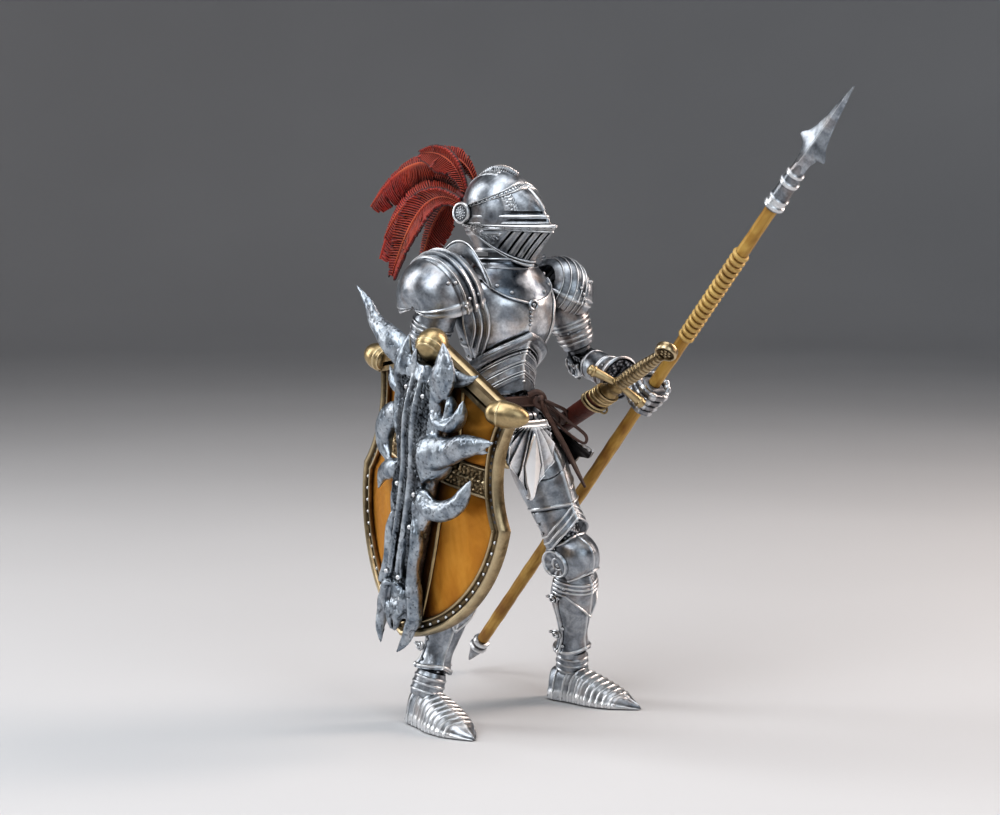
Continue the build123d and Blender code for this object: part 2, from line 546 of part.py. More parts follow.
def spear():
    parts = {}
    shaft_top = SPEAR_LENGTH - SPEAR_HEAD_LENGTH
    shaft_length = shaft_top - SPEAR_BUTT_LENGTH
    shaft = Pos(0, 0, SPEAR_BUTT_LENGTH + shaft_length / 2) * Cylinder(SPEAR_RADIUS, shaft_length)
    grip_at = (vec(FIST["left"]) - vec(SPEAR_BUTT)).dot(SPEAR_AXIS)
    for i in range(17):
        ring = Pos(0, 0, grip_at + 20 + i * 2.15) * Cylinder(SPEAR_RADIUS + 0.45, 1.5)
        shaft += ring
    parts["spear_shaft"] = shaft
    edge = [(1.8, 0), (2.3, 4.0), (6.0, 8.6), (3.2, 14.0)]
    other_edge = [(-across, up) for across, up in reversed(edge)]
    blade = make_face(Polyline(*edge, (0, SPEAR_BLADE_LENGTH), *other_edge, close=True))
    blade = Pos(0, 0, SPEAR_LENGTH - SPEAR_BLADE_LENGTH) * extrude(Plane.XZ * blade, 0.8, both=True)
    socket_length = SPEAR_HEAD_LENGTH - SPEAR_BLADE_LENGTH + 3.0
    head_socket = Pos(0, 0, shaft_top + socket_length / 2) * Cone(3.2, 2.0, socket_length)
    turned = SPEAR_FRAME * Rot(0, 0, 90)
    parts["spear_head"] = turned * (blade + head_socket)
    butt = lathe([(0.4, 0), (2.4, SPEAR_BUTT_LENGTH - 3.4), (3.0, SPEAR_BUTT_LENGTH - 3.0),
                  (3.0, SPEAR_BUTT_LENGTH)])
    parts["spear_shaft"] = SPEAR_FRAME * parts["spear_shaft"]
    parts["spear_butt"] = SPEAR_FRAME * butt
    return parts


def sword():
    parts = {}
    blade = make_face(Polyline((-2.0, 0), (2.0, 0), (1.5, -BLADE_LENGTH * 0.8), (0, -BLADE_LENGTH),
                               (-1.5, -BLADE_LENGTH * 0.8), close=True))
    guard_z = 5.0
    blade = Pos(0, 0, guard_z) * extrude(Plane.XZ * blade, 0.6, both=True)
    parts["sword_blade"] = blade
    bar = block(-GUARD_HALF_SPAN, GUARD_HALF_SPAN, -1.1, 1.1, guard_z, guard_z + 2.4)
    hub = Pos(0, 0, guard_z + 1.5) * Cylinder(2.5, 3.0)
    parts["sword_guard"] = bar + hub
    grip_z = guard_z + 3.0
    grip = Pos(0, 0, grip_z) * lathe([(1.9, 0), (2.1, 8.0), (1.5, SWORD_GRIP_LENGTH)])
    parts["sword_grip"] = grip
    pommel_z = grip_z + SWORD_GRIP_LENGTH
    pommel = Pos(0, 0, pommel_z + POMMEL_RADIUS) * Rot(90, 0, 0) * Cylinder(POMMEL_RADIUS, 2.2)
    pommel += Pos(0, 0, pommel_z + 0.6) * Cylinder(1.6, 1.2)
    parts["sword_pommel"] = pommel & block(-5, 5, -5, 5, pommel_z, pommel_z + 8)

    section = make_face(Polyline((-3.0, 0), (-1.8, -1.6), (1.8, -1.6), (3.0, 0), (1.8, 1.6), (-1.8, 1.6),
                                 close=True))
    sheath = Pos(0, 0, -SCABBARD_LENGTH) * extrude(section, SCABBARD_LENGTH - 5.0)
    cavity = block(-2.2, 2.2, -0.85, 0.85, -BLADE_LENGTH + 2.0, 20)
    tip_trim = block(-3.5, 3.5, -3, 3, -SCABBARD_LENGTH - 1, -SCABBARD_LENGTH)
    parts["scabbard"] = sheath - cavity - tip_trim
    band = Pos(0, 0, -5.0) * extrude(offset(section, amount=0.5), 5.0)
    parts["scabbard_throat"] = band - cavity
    placed = {name: SWORD_FRAME * piece for name, piece in parts.items()}
    x, y, z = FROG_PIVOT
    pin = rod((x - 5.2, y, z), (x - 1.0, y, z), PIN_RADIUS)
    placed["scabbard"] = placed["scabbard"] + (pin - SWORD_FRAME * block(-2.4, 2.4, -1.0, 1.0, -60, 20))
    return placed


# ---------------------------------------------------------------- shield
SHIELD_FRAME = frame(SHIELD_CENTRE, SHIELD_UP, SHIELD_REAR)


def half_outline(sign):
    """Half of the heater outline, x to the edge and y up: gable, concave shoulder, cusp, curved flank."""
    w = SHIELD_HALF_WIDTH
    corner = (sign * (w - 1.5), SHIELD_CORNER)
    cusp = (sign * w, -4.0)
    point = (0, -SHIELD_BOTTOM)
    gable = Line((0, SHIELD_TOP), corner)
    shoulder = ThreePointArc(corner, (sign * (w - 5.5), 12.0), cusp)
    flank = ThreePointArc(cusp, (sign * w * 0.74, -30.0), point)
    keel = Line(point, (0, SHIELD_TOP))
    return make_face([gable, shoulder, flank, keel])


def swept_half(half, sign, low, high):
    """A half outline as a slab between two heights, swept back along the keel."""
    slab = Pos(0, (low + high) / 2, 0) * extrude(Plane.XZ * half, (high - low) / 2, both=True)
    return Rot(0, 0, -sign * SHIELD_KEEL) * slab


def shield():
    parts = {}
    board, rim = None, None
    keel_strip = Pos(0, (SHIELD_TOP - SHIELD_BOTTOM) / 2) * Rectangle(
        2 * RIM_WIDTH + 1.0, SHIELD_TOP + SHIELD_BOTTOM - 2.2 * RIM_WIDTH)
    for sign in (-1, 1):
        outline = half_outline(sign)
        slab = swept_half(outline, sign, -SHIELD_THICKNESS, 0)
        board = slab if board is None else board + slab
        ring = outline - offset(outline, amount=-RIM_WIDTH) - keel_strip
        bar = swept_half(ring, sign, 0, RIM_PROUD)
        rim = bar if rim is None else rim + bar
    across = SHIELD_HALF_WIDTH * math.cos(math.radians(SHIELD_KEEL)) - 3.0
    corner_out = 1.4 - SHIELD_HALF_WIDTH * math.sin(math.radians(SHIELD_KEEL))
    knob = lathe([(0.8, -KNOB_RADIUS), (KNOB_RADIUS, -1.2), (KNOB_RADIUS, 1.2), (0.8, KNOB_RADIUS)])
    knob = Rot(90, 0, 0) * knob
    for x, y, z in ((0, 1.0, SHIELD_TOP - 1.0), (across, corner_out, SHIELD_CORNER),
                    (-across, corner_out, SHIELD_CORNER)):
        rim += Pos(x, y, z) * knob
    rim += block(-1.2, 1.2, -0.4, RIM_PROUD + 0.2, -0.3 - SHIELD_BOTTOM, 4.4 - SHIELD_BOTTOM)
    parts["shield_rim"] = rim - board
    peg = Pos(SHIELD_PEG[0], -3.6, SHIELD_PEG[2]) * Rot(90, 0, 0) * Cylinder(PEG_RADIUS, 5.0)
    parts["shield_board"] = board + peg
    parts["shield_emblem"] = emblem() - board - rim
    parts["shield_handle"] = handle()
    return {name: SHIELD_FRAME * piece for name, piece in parts.items()}


def emblem():
    """Horned beast skull down the keel: a ridged body with horns and tusks, in the shield's frame."""
    plan = make_face(Polyline((-8.5, 33), (8.5, 33), (10, 18), (6.5, 2), (6, -20), (4.4, -34), (3.2, -43),
                              (-3.2, -43), (-4.4, -34), (-6, -20), (-6.5, 2), (-10, 18), close=True))
    profile = make_face(Polyline((-1.2, 33), (6.0, 33), (8.0, 22), (7.0, 0), (8.0, -28), (6.5, -43),
                                 (-1.2, -43), close=True))
    body = extrude(Plane.XZ * plan, -12, both=True)
    body &= extrude(Plane.YZ * profile, 14, both=True)
    horns = [((8, 3, 28), (18, 6, 38), 4.0, 2.8), ((18, 6, 38), (22, 8, 50), 2.8, 0.3),
             ((-6, 4, 27), (-11, 8, 38), 3.6, 0.4), ((4, 4, 28), (5, 9, 39), 3.2, 0.4),
             ((-8, 3, 12), (-27, 3, 12), 3.4, 0.4), ((-6, 3, -3), (-20, 6, 2), 3.0, 0.4),
             ((8, 3, 12), (17, 6.5, 6), 3.4, 0.4), ((6, 3, -8), (13, 6, -14), 2.6, 0.4),
             ((3.4, 4, -38), (5.6, 5, -50), 2.2, 0.3), ((-3.0, 4, -38), (-3.6, 5, -50), 2.2, 0.3)]
    for a, b, r1, r2 in horns:
        body += rod(a, b, r1, r2)
        body += Pos(*a) * Sphere(r1)
    crest = Pos(0, 8.4, -4.0) * Box(2.4, 3.0, 60)
    return body + crest


SHIELD_PEG = (1.0, 0.0, 10.2)                    # shield frame: across, out, up
HANDLE_BASE_RADIUS = 8.0


def handle():
    """Grip bar on two arms and a round base that turns on the board's peg, in the shield's frame."""
    to_fist = SHIELD_FRAME.inverse() * Pos(*FIST["right"])
    fx, fy, fz = tuple(to_fist.position)
    base_y0, base_y1 = -6.5, -3.0
    across, _, up = SHIELD_PEG
    thickness = base_y1 - base_y0
    base = Rot(90, 0, 0) * Cylinder(HANDLE_BASE_RADIUS, thickness)
    base = Pos(across, base_y0 + thickness / 2, up) * base
    half = 4.2 + 0.4
    bar = Pos(fx, fy, fz) * Cylinder(GRIP_RADIUS, 2 * half + 3.6)
    for sign in (-1, 1):
        z0, z1 = sorted((fz + sign * half, fz + sign * (half + 1.8)))
        bar += block(fx - 1.8, fx + 1.8, fy - 1.8, base_y1 - 0.4, z0, z1)
    hole = Pos(across, -4.0, up) * Rot(90, 0, 0) * Cylinder(PEG_RADIUS + PIN_CLEARANCE, 12)
    return base + bar - hole


# ---------------------------------------------------------------- assembly
def build():
    nodes = {}
    nodes.update(trunk())
    nodes.update(head())
    for side in ("right", "left"):
        for name, piece in {**leg(side), **arm(side)}.items():
            nodes[side + "_" + name] = piece
        nodes[side + "_pauldron"] = pauldron(side)
    nodes.update(spear())
    nodes.update(sword())
    nodes.update(shield())
    return nodes


def origin_shift(nodes):
    """Vector that carries the middle of the base of the bounding box to the origin."""
    boxes = [piece.bounding_box() for piece in nodes.values()]
    low = [min(getattr(b.min, k) for b in boxes) for k in "XYZ"]
    high = [max(getattr(b.max, k) for b in boxes) for k in "XYZ"]
    return vec((-(low[0] + high[0]) / 2, -(low[1] + high[1]) / 2, -low[2]))


NODES = build()
SHIFT = origin_shift(NODES)
os.makedirs("parts", exist_ok=True)
for node_name, solid in NODES.items():
    export_step(Pos(*SHIFT) * solid, f"parts/{node_name}.step")
print(len(NODES), "nodes, shift", tuple(SHIFT))
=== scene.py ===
"""Looks of a jointed 1:12 knight figure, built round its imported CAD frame. Lengths are in millimetres."""

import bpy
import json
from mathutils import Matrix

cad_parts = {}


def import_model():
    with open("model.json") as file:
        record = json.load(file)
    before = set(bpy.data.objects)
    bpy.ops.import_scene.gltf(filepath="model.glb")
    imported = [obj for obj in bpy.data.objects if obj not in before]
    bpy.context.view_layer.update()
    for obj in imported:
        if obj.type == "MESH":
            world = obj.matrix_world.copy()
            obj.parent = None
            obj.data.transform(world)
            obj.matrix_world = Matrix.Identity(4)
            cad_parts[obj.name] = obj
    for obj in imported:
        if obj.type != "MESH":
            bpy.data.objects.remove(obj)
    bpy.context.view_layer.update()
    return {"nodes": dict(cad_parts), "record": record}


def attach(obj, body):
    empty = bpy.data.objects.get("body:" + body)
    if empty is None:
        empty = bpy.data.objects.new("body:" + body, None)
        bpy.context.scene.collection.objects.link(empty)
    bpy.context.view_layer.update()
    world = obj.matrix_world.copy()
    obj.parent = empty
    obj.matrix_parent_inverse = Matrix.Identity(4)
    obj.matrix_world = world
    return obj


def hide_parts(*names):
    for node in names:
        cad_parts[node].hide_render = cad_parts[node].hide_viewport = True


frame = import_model()

import json
import math

import bpy
import numpy as np
from mathutils import Matrix, Vector

MM = 0.001
FULL_TURN = 2 * np.pi
IN_PLACE = np.eye(4)                         # for points that are already in the frame
WAIST_HEIGHT = 98.0
FIST_BELOW_WRIST = 10.0

# ---------------------------------------------------------------- places, from the record's joints
JOINTS = {j["name"]: j for j in frame["record"]["behaviour"]["joints"]}


def joint_at(name):
    return np.array(JOINTS[name]["pos_m"]) / MM


def joint_axis(name):
    return np.array(JOINTS[name]["axis"], float)


WAIST = joint_at("waist_turn")
ORIGIN = WAIST - np.array([0, 0, WAIST_HEIGHT])  # the figure's origin: on the floor, under the waist


def unit(v):
    v = np.asarray(v, float)
    return v / np.linalg.norm(v)


def frame_at(origin, up, side):
    """4x4 of a place: Z along up, X along side as nearly as it can be, Y = Z x X."""
    z = unit(up)
    x = np.asarray(side, float)
    x = unit(x - z * x.dot(z))
    m = np.eye(4)
    m[:3, 0], m[:3, 1], m[:3, 2], m[:3, 3] = x, np.cross(z, x), z, origin
    return m


def shifted(x, y, z):
    m = np.eye(4)
    m[:3, 3] = (x, y, z)
    return m


def turned(axis, degrees):
    return np.array(Matrix.Rotation(math.radians(degrees), 4, Vector(axis)))


def turn_angles(count):
    """Angles spread evenly over a full turn."""
    return np.linspace(0, FULL_TURN, count, endpoint=False)


def on(place, p):
    """Points of a place, in the coordinates that the place is given in."""
    return np.asarray(p, float) @ place[:3, :3].T + place[:3, 3]


def along(place, v):
    return place[:3, :3] @ np.asarray(v, float)


FIGURE = shifted(*ORIGIN)


# ---------------------------------------------------------------- shape helpers
def curve(xs, ys):
    """Smooth monotone curve through points, as a function of an array."""
    xs, ys = np.asarray(xs, float), np.asarray(ys, float)
    slope = np.diff(ys) / np.diff(xs)
    m = np.zeros(len(xs))
    m[0], m[-1] = slope[0], slope[-1]
    same = slope[:-1] * slope[1:] > 0
    m[1:-1][same] = 2 * slope[:-1][same] * slope[1:][same] / (slope[:-1][same] + slope[1:][same])

    def f(x):
        x = np.clip(np.asarray(x, float), xs[0], xs[-1])
        i = np.clip(np.searchsorted(xs, x) - 1, 0, len(xs) - 2)
        h = xs[i + 1] - xs[i]
        t = (x - xs[i]) / h
        return ((2 * t**3 - 3 * t**2 + 1) * ys[i] + (t**3 - 2 * t**2 + t) * h * m[i]
                + (-2 * t**3 + 3 * t**2) * ys[i + 1] + (t**3 - t**2) * h * m[i + 1])
    return f


def upright(z):
    """Points on the Z axis at heights z."""
    return np.stack([0 * z, 0 * z, z], -1)


def round_it(angle, radius, z):
    """Points round the Z axis, angle 0 at -Y."""
    return np.stack([radius * np.sin(angle), -radius * np.cos(angle), z + 0 * angle], -1)


def bead(x, centre, half):
    """Half round ridge, 1 at its centre."""
    return np.sqrt(np.clip(1 - ((x - centre) / half) ** 2, 0, 1))


def hill(x, width):
    """Soft ridge, 1 at zero."""
    return np.exp(-((x / width) ** 2))


def step(x, at, width):
    """Smooth step from 0 to 1, centred on at."""
    t = np.clip((x - at) / width + 0.5, 0, 1)
    return t * t * (3 - 2 * t)


def spline(points, count):
    """Catmull-Rom line through points, evenly spread."""
    p = np.asarray(points, float)
    p = np.vstack([2 * p[0] - p[1], p, 2 * p[-1] - p[-2]])
    out = []
    for i in range(1, len(p) - 2):
        for t in np.linspace(0, 1, 24, endpoint=False):
            out.append(0.5 * (2 * p[i] + (p[i + 1] - p[i - 1]) * t
                              + (2 * p[i - 1] - 5 * p[i] + 4 * p[i + 1] - p[i + 2]) * t * t
                              + (3 * p[i] - p[i - 1] - 3 * p[i + 1] + p[i + 2]) * t**3))
    out.append(p[-2])
    out = np.array(out)
    s = np.concatenate([[0], np.cumsum(np.linalg.norm(np.diff(out[:, :3], axis=0), axis=1))])
    want = np.linspace(0, s[-1], count)
    return np.stack([np.interp(want, s, out[:, k]) for k in range(out.shape[1])], axis=1)


def wobble(p, size, seed=0.0):
    """Cheap smooth noise of points, about -1 to 1, with features of about size."""
    q = np.asarray(p, float) / size * 2.2 + seed
    x, y, z = q[..., 0], q[..., 1], q[..., 2]
    a = np.sin(x * 1.7 + 1.3 * np.sin(y * 1.1 + z)) * np.cos(z * 1.3 + 0.7 * np.sin(x * 1.9))
    b = np.sin(y * 2.3 + 1.1 * np.sin(z * 1.7 + x)) * np.cos(x * 1.5 + y * 0.7)
    return 0.5 * (a + b)


class Piece:
    """Collects faces in millimetres and makes one mesh object that rides on a body."""

    def __init__(self, name, body, material, slot, stands_for=(), place=None, sharp=38):
        self.name, self.body, self.material, self.slot = name, body, material, slot
        self.stands_for, self.sharp = stands_for, sharp
        self.place = FIGURE if place is None else place
        self.verts, self.quads, self.polys, self.wear_and_shade, self.count = [], [], [], [], 0

    def points(self, p, wear_and_shade=0.0, place=None):
        p = np.asarray(p, float).reshape(-1, 3)
        m = self.place if place is None else place
        self.verts.append(on(m, p))
        # Wear value per point: above 0 it is rubbed wear, below 0 the materials paint shade there.
        self.wear_and_shade.append(np.broadcast_to(np.asarray(wear_and_shade, float).ravel(), (len(p),)).copy()
                         if np.size(wear_and_shade) in (1, len(p)) else np.zeros(len(p)))
        first = self.count
        self.count += len(p)
        return first

    def skin(self, first, nu, nv, wrap=False, flip=False):
        idx = first + np.arange(nu * nv).reshape(nu, nv)
        if wrap:
            idx = np.vstack([idx, idx[:1]])
        a, b, c, d = idx[:-1, :-1], idx[1:, :-1], idx[1:, 1:], idx[:-1, 1:]
        q = np.stack([a, b, c, d], axis=-1).reshape(-1, 4)
        self.quads.append(q[:, ::-1] if flip else q)
        return idx

    def close(self, idx):
        """Flat faces over both ends of a wrapped skin."""
        self.polys.append(tuple(int(k) for k in idx[:-1, 0][::-1]))
        self.polys.append(tuple(int(k) for k in idx[:-1, -1]))

    def plate(self, p, thick, inside, relief=0.0, wrap=False, place=None):
        """Closed plate on a grid of points; relief lifts its outer face, away from inside."""
        p = np.asarray(p, float)
        if wrap:
            du = np.roll(p, -1, 0) - np.roll(p, 1, 0)
        else:
            du = np.gradient(p, axis=0)
        dv = np.gradient(p, axis=1)
        n = np.cross(du, dv)
        n /= np.maximum(np.linalg.norm(n, axis=-1, keepdims=True), 1e-9)
        flip = float(((p - np.asarray(inside, float)) * n).sum(-1).mean()) < 0
        if flip:
            n = -n
        relief = np.broadcast_to(np.asarray(relief, float), p.shape[:2])
        nu, nv = p.shape[:2]
        o = self.skin(self.points(p + n * relief[..., None], relief, place), nu, nv, wrap, flip)
        # The inner face gets a wear value of -0.3, so the materials paint shade on it.
        i = self.skin(self.points(p - n * thick, -0.3, place), nu, nv, wrap, not flip)
        sides = [(o[1:, 0], o[:-1, 0], i[:-1, 0], i[1:, 0]), (o[:-1, -1], o[1:, -1], i[1:, -1], i[:-1, -1])]
        if not wrap:
            sides += [(o[0, :-1], o[0, 1:], i[0, 1:], i[0, :-1]),
                      (o[-1, 1:], o[-1, :-1], i[-1, :-1], i[-1, 1:])]
        for s in sides:
            q = np.stack(s, axis=-1)
            self.quads.append(q[:, ::-1] if flip else q)
        return p + n * relief[..., None], n

    def tube(self, path, radius, segs=16, side=(0, 0, 1), squash=1.0, shape=None, ring=False, place=None,
             wear_and_shade=0.0):
        """Round bar along a path. squash flattens it across side; shape(angle, t) scales its radius."""
        path = np.asarray(path, float)
        n = len(path)
        radius = np.broadcast_to(np.asarray(radius, float), (n,))
        if ring:
            tangent = np.roll(path, -1, 0) - np.roll(path, 1, 0)
        else:
            tangent = np.gradient(path, axis=0)
        tangent /= np.maximum(np.linalg.norm(tangent, axis=1, keepdims=True), 1e-9)
        x = np.asarray(side, float)
        if abs(unit(x).dot(tangent[0])) > 0.95:
            x = np.array([1.0, 0, 0]) if abs(tangent[0][0]) < 0.8 else np.array([0, 1.0, 0])
        rings, angle = [], turn_angles(segs)
        for k in range(n):
            x = x - tangent[k] * x.dot(tangent[k])
            x = unit(x)
            y = np.cross(tangent[k], x)
            r = radius[k] * (np.ones(segs) if shape is None else shape(angle, k / (n - 1)))
            flat = squash if np.isscalar(squash) else squash[k]
            rings.append(path[k] + np.outer(np.cos(angle) * r, x) + np.outer(np.sin(angle) * r * flat, y))
        p = np.array(rings).transpose(1, 0, 2)
        if ring:
            p = np.concatenate([p, p[:, :1]], axis=1)
            first = self.points(p[:, :-1], wear_and_shade, place)
            idx = first + np.arange(segs * n).reshape(segs, n)
            idx = np.hstack([idx, idx[:, :1]])
            idx = np.vstack([idx, idx[:1]])
            self.quads.append(np.stack([idx[:-1, :-1], idx[1:, :-1], idx[1:, 1:], idx[:-1, 1:]],
                                       axis=-1).reshape(-1, 4))
            return
        w = np.broadcast_to(np.asarray(wear_and_shade, float), (n,))
        idx = self.skin(self.points(p, np.tile(w, (segs, 1)), place), segs, n, True)
        self.close(idx)

    def lathe(self, profile, place=None, segs=40, shape=None, wear_and_shade=0.0):
        """Solid turned about Z from (radius, z) points that rise in z."""
        pr = np.asarray(profile, float)
        angle = turn_angles(segs)
        r = np.maximum(pr[:, 0], 0.02)
        grow = np.ones((segs, len(pr))) if shape is None else shape(angle[:, None], pr[None, :, 1])
        p = np.stack([np.cos(angle)[:, None] * r * grow, np.sin(angle)[:, None] * r * grow,
                      np.broadcast_to(pr[:, 1], (segs, len(pr)))], axis=-1)
        w = np.tile(np.broadcast_to(np.asarray(wear_and_shade, float), (len(pr),)), (segs, 1))
        m = (self.place if place is None else self.place @ place)
        idx = self.skin(self.points(p, w, m), segs, len(pr), True)
        self.close(idx)

    def stud(self, at, normal, radius=0.5, height=0.4, place=None):
        """Rivet head on a surface."""
        n = unit(normal)
        x = unit(np.cross(n, (0.3, 0.5, 0.8)))
        y = np.cross(n, x)
        segs = 10
        angle = turn_angles(segs)
        rings = [(1.0, -0.25), (1.0, 0.05), (0.86, 0.55), (0.5, 0.9), (0.12, 1.0)]
        p = np.array([[np.asarray(at) + (x * math.cos(a) + y * math.sin(a)) * radius * r + n * height * h
                       for r, h in rings] for a in angle])
        idx = self.skin(self.points(p, 0.25, place), segs, len(rings), True)
        self.close(idx)

    def studs(self, points, normals, radius=0.5, height=0.4, place=None):
        for at, n in zip(points, normals):
            self.stud(at, n, radius, height, place)

    def mesh(self):
        v = np.vstack(self.verts) * MM
        quads = np.vstack(self.quads) if self.quads else np.zeros((0, 4), int)
        mesh = bpy.data.meshes.new(self.name)
        loops = np.concatenate([quads.ravel()] + [np.array(p) for p in self.polys]).astype(np.int32)
        sizes = np.concatenate([np.full(len(quads), 4), [len(p) for p in self.polys]]).astype(np.int32)
        starts = np.concatenate([[0], np.cumsum(sizes)[:-1]]).astype(np.int32)
        mesh.vertices.add(len(v))
        mesh.vertices.foreach_set("co", v.astype(np.float32).ravel())
        mesh.loops.add(len(loops))
        mesh.loops.foreach_set("vertex_index", loops)
        mesh.polygons.add(len(sizes))
        mesh.polygons.foreach_set("loop_start", starts)
        mesh.polygons.foreach_set("loop_total", sizes)
        mesh.update(calc_edges=True)
        mesh.validate()
        attribute = mesh.attributes.new("wear_and_shade", "FLOAT", "POINT")
        attribute.data.foreach_set("value", np.concatenate(self.wear_and_shade).astype(np.float32))
        return mesh

    def make(self, voxel=None, rough=None, press=None):
        """The object. With voxel, all is fused into one skin, lifted by rough() and moved by press()."""
        mesh = self.mesh()
        obj = bpy.data.objects.new(self.name, mesh)
        bpy.context.scene.collection.objects.link(obj)
        if voxel:
            obj = fused(obj, voxel, rough, press)
        obj.data.materials.clear()
        obj.data.materials.append(MATERIALS[self.material])
        obj.data.polygons.foreach_set("use_smooth", [True] * len(obj.data.polygons))
        if not voxel:
            obj.data.set_sharp_from_angle(angle=math.radians(self.sharp))
        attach(obj, self.body)
        if self.stands_for:
            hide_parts(*self.stands_for)
        return obj


def fused(obj, voxel, rough, press):
    """Voxel remesh into one skin, smoothed a little, with its relief lifted along the normals."""
    modifier = obj.modifiers.new("fuse", "REMESH")
    modifier.mode = "VOXEL"
    modifier.voxel_size = voxel * MM
    smooth = obj.modifiers.new("soften", "SMOOTH")
    smooth.factor, smooth.iterations = 0.5, 2
    bpy.context.view_layer.update()
    mesh = bpy.data.meshes.new_from_object(obj.evaluated_get(bpy.context.evaluated_depsgraph_get()))
    obj.modifiers.clear()
    obj.data = mesh
    count = len(mesh.vertices)
    co, no = np.zeros(count * 3), np.zeros(count * 3)
    mesh.vertices.foreach_get("co", co)
    mesh.vertices.foreach_get("normal", no)
    co, no = co.reshape(-1, 3), no.reshape(-1, 3)
    lift = np.zeros(count) if rough is None else rough(co / MM, no)
    co += no * (lift * MM)[:, None]
    if press:
        co = press(co / MM) * MM
    mesh.vertices.foreach_set("co", co.ravel())
    # The lift is kept as the wear value: raised grain reads as rubbed wear, sunken pebbling and cracks get
    # painted shade.
    for old in list(mesh.attributes):
        if old.name == "wear_and_shade":
            mesh.attributes.remove(old)
    attribute = mesh.attributes.new("wear_and_shade", "FLOAT", "POINT")
    attribute.data.foreach_set("value", lift.astype(np.float32))
    mesh.update()
    return obj


# ---------------------------------------------------------------- materials
MATERIALS = {}


class Nodes:
    """A material's node tree, with short calls to add to it."""

    def __init__(self, name):
        self.material = bpy.data.materials.new(name)
        self.material.use_nodes = True
        self.tree = self.material.node_tree
        self.shader = self.tree.nodes["Principled BSDF"]
        self.where = self.tree.nodes.new("ShaderNodeTexCoord").outputs["Object"]
        MATERIALS[name] = self.material

    def link(self, a, b):
        self.tree.links.new(a, b)

    def noise(self, scale, detail=4.0, distortion=0.0, stretch=None):
        node = self.tree.nodes.new("ShaderNodeTexNoise")
        node.inputs["Scale"].default_value = scale
        node.inputs["Detail"].default_value = detail
        node.inputs["Distortion"].default_value = distortion
        where = self.where
        if stretch:
            mapping = self.tree.nodes.new("ShaderNodeMapping")
            mapping.inputs["Scale"].default_value = stretch
            self.link(where, mapping.inputs["Vector"])
            where = mapping.outputs["Vector"]
        self.link(where, node.inputs["Vector"])
        return node.outputs["Fac"]

    def cells(self, scale, feature="F1"):
        node = self.tree.nodes.new("ShaderNodeTexVoronoi")
        node.feature = feature
        node.inputs["Scale"].default_value = scale
        self.link(self.where, node.inputs["Vector"])
        return node.outputs["Distance"]

    def ramp(self, value, stops):
        node = self.tree.nodes.new("ShaderNodeValToRGB")
        ramp = node.color_ramp
        while len(ramp.elements) < len(stops):
            ramp.elements.new(0.5)
        for element, (at, colour) in zip(ramp.elements, stops):
            element.position = at
            element.color = (*colour, 1) if hasattr(colour, "__len__") else (colour,) * 3 + (1,)
        self.link(value, node.inputs["Fac"])
        return node.outputs["Color"]

    def mix(self, factor, a, b, mode="MIX"):
        node = self.tree.nodes.new("ShaderNodeMix")
        node.data_type = "RGBA"
        node.blend_type = mode
        for socket, value in ((node.inputs["Factor"], factor), (node.inputs["A"], a),
                              (node.inputs["B"], b)):
            self.put(socket, value)
        return node.outputs["Result"]

    def math(self, operation, a, b=0.0, clamp=False):
        node = self.tree.nodes.new("ShaderNodeMath")
        node.operation, node.use_clamp = operation, clamp
        self.put(node.inputs[0], a)
        self.put(node.inputs[1], b)
        return node.outputs["Value"]

    def put(self, socket, value):
        if isinstance(value, bpy.types.NodeSocket):
            self.link(value, socket)
        elif hasattr(value, "__len__") and len(value) == 3 and socket.type == "RGBA":
            socket.default_value = (*value, 1)
        else:
            socket.default_value = value

    def crevice(self, reach):
        """0 in crevices narrower than reach (mm), 1 in the open."""
        node = self.tree.nodes.new("ShaderNodeAmbientOcclusion")
        node.samples = 6
        node.inputs["Distance"].default_value = reach * MM
        return node.outputs["AO"]

    # Per-point wear value: rubbed wear above 0, painted shade below 0.
    def wear_and_shade(self):
        node = self.tree.nodes.new("ShaderNodeAttribute")
        node.attribute_name = "wear_and_shade"
        return node.outputs["Fac"]

    def bump(self, height, strength, distance):
        node = self.tree.nodes.new("ShaderNodeBump")
        node.inputs["Strength"].default_value = strength
        node.inputs["Distance"].default_value = distance * MM
        self.link(height, node.inputs["Height"])
        self.link(node.outputs["Normal"], self.shader.inputs["Normal"])
        return node

    def finish(self, colour, rough, metallic=0.0):
        self.put(self.shader.inputs["Base Color"], colour)
        self.put(self.shader.inputs["Roughness"], rough)
        self.shader.inputs["Metallic"].default_value = metallic


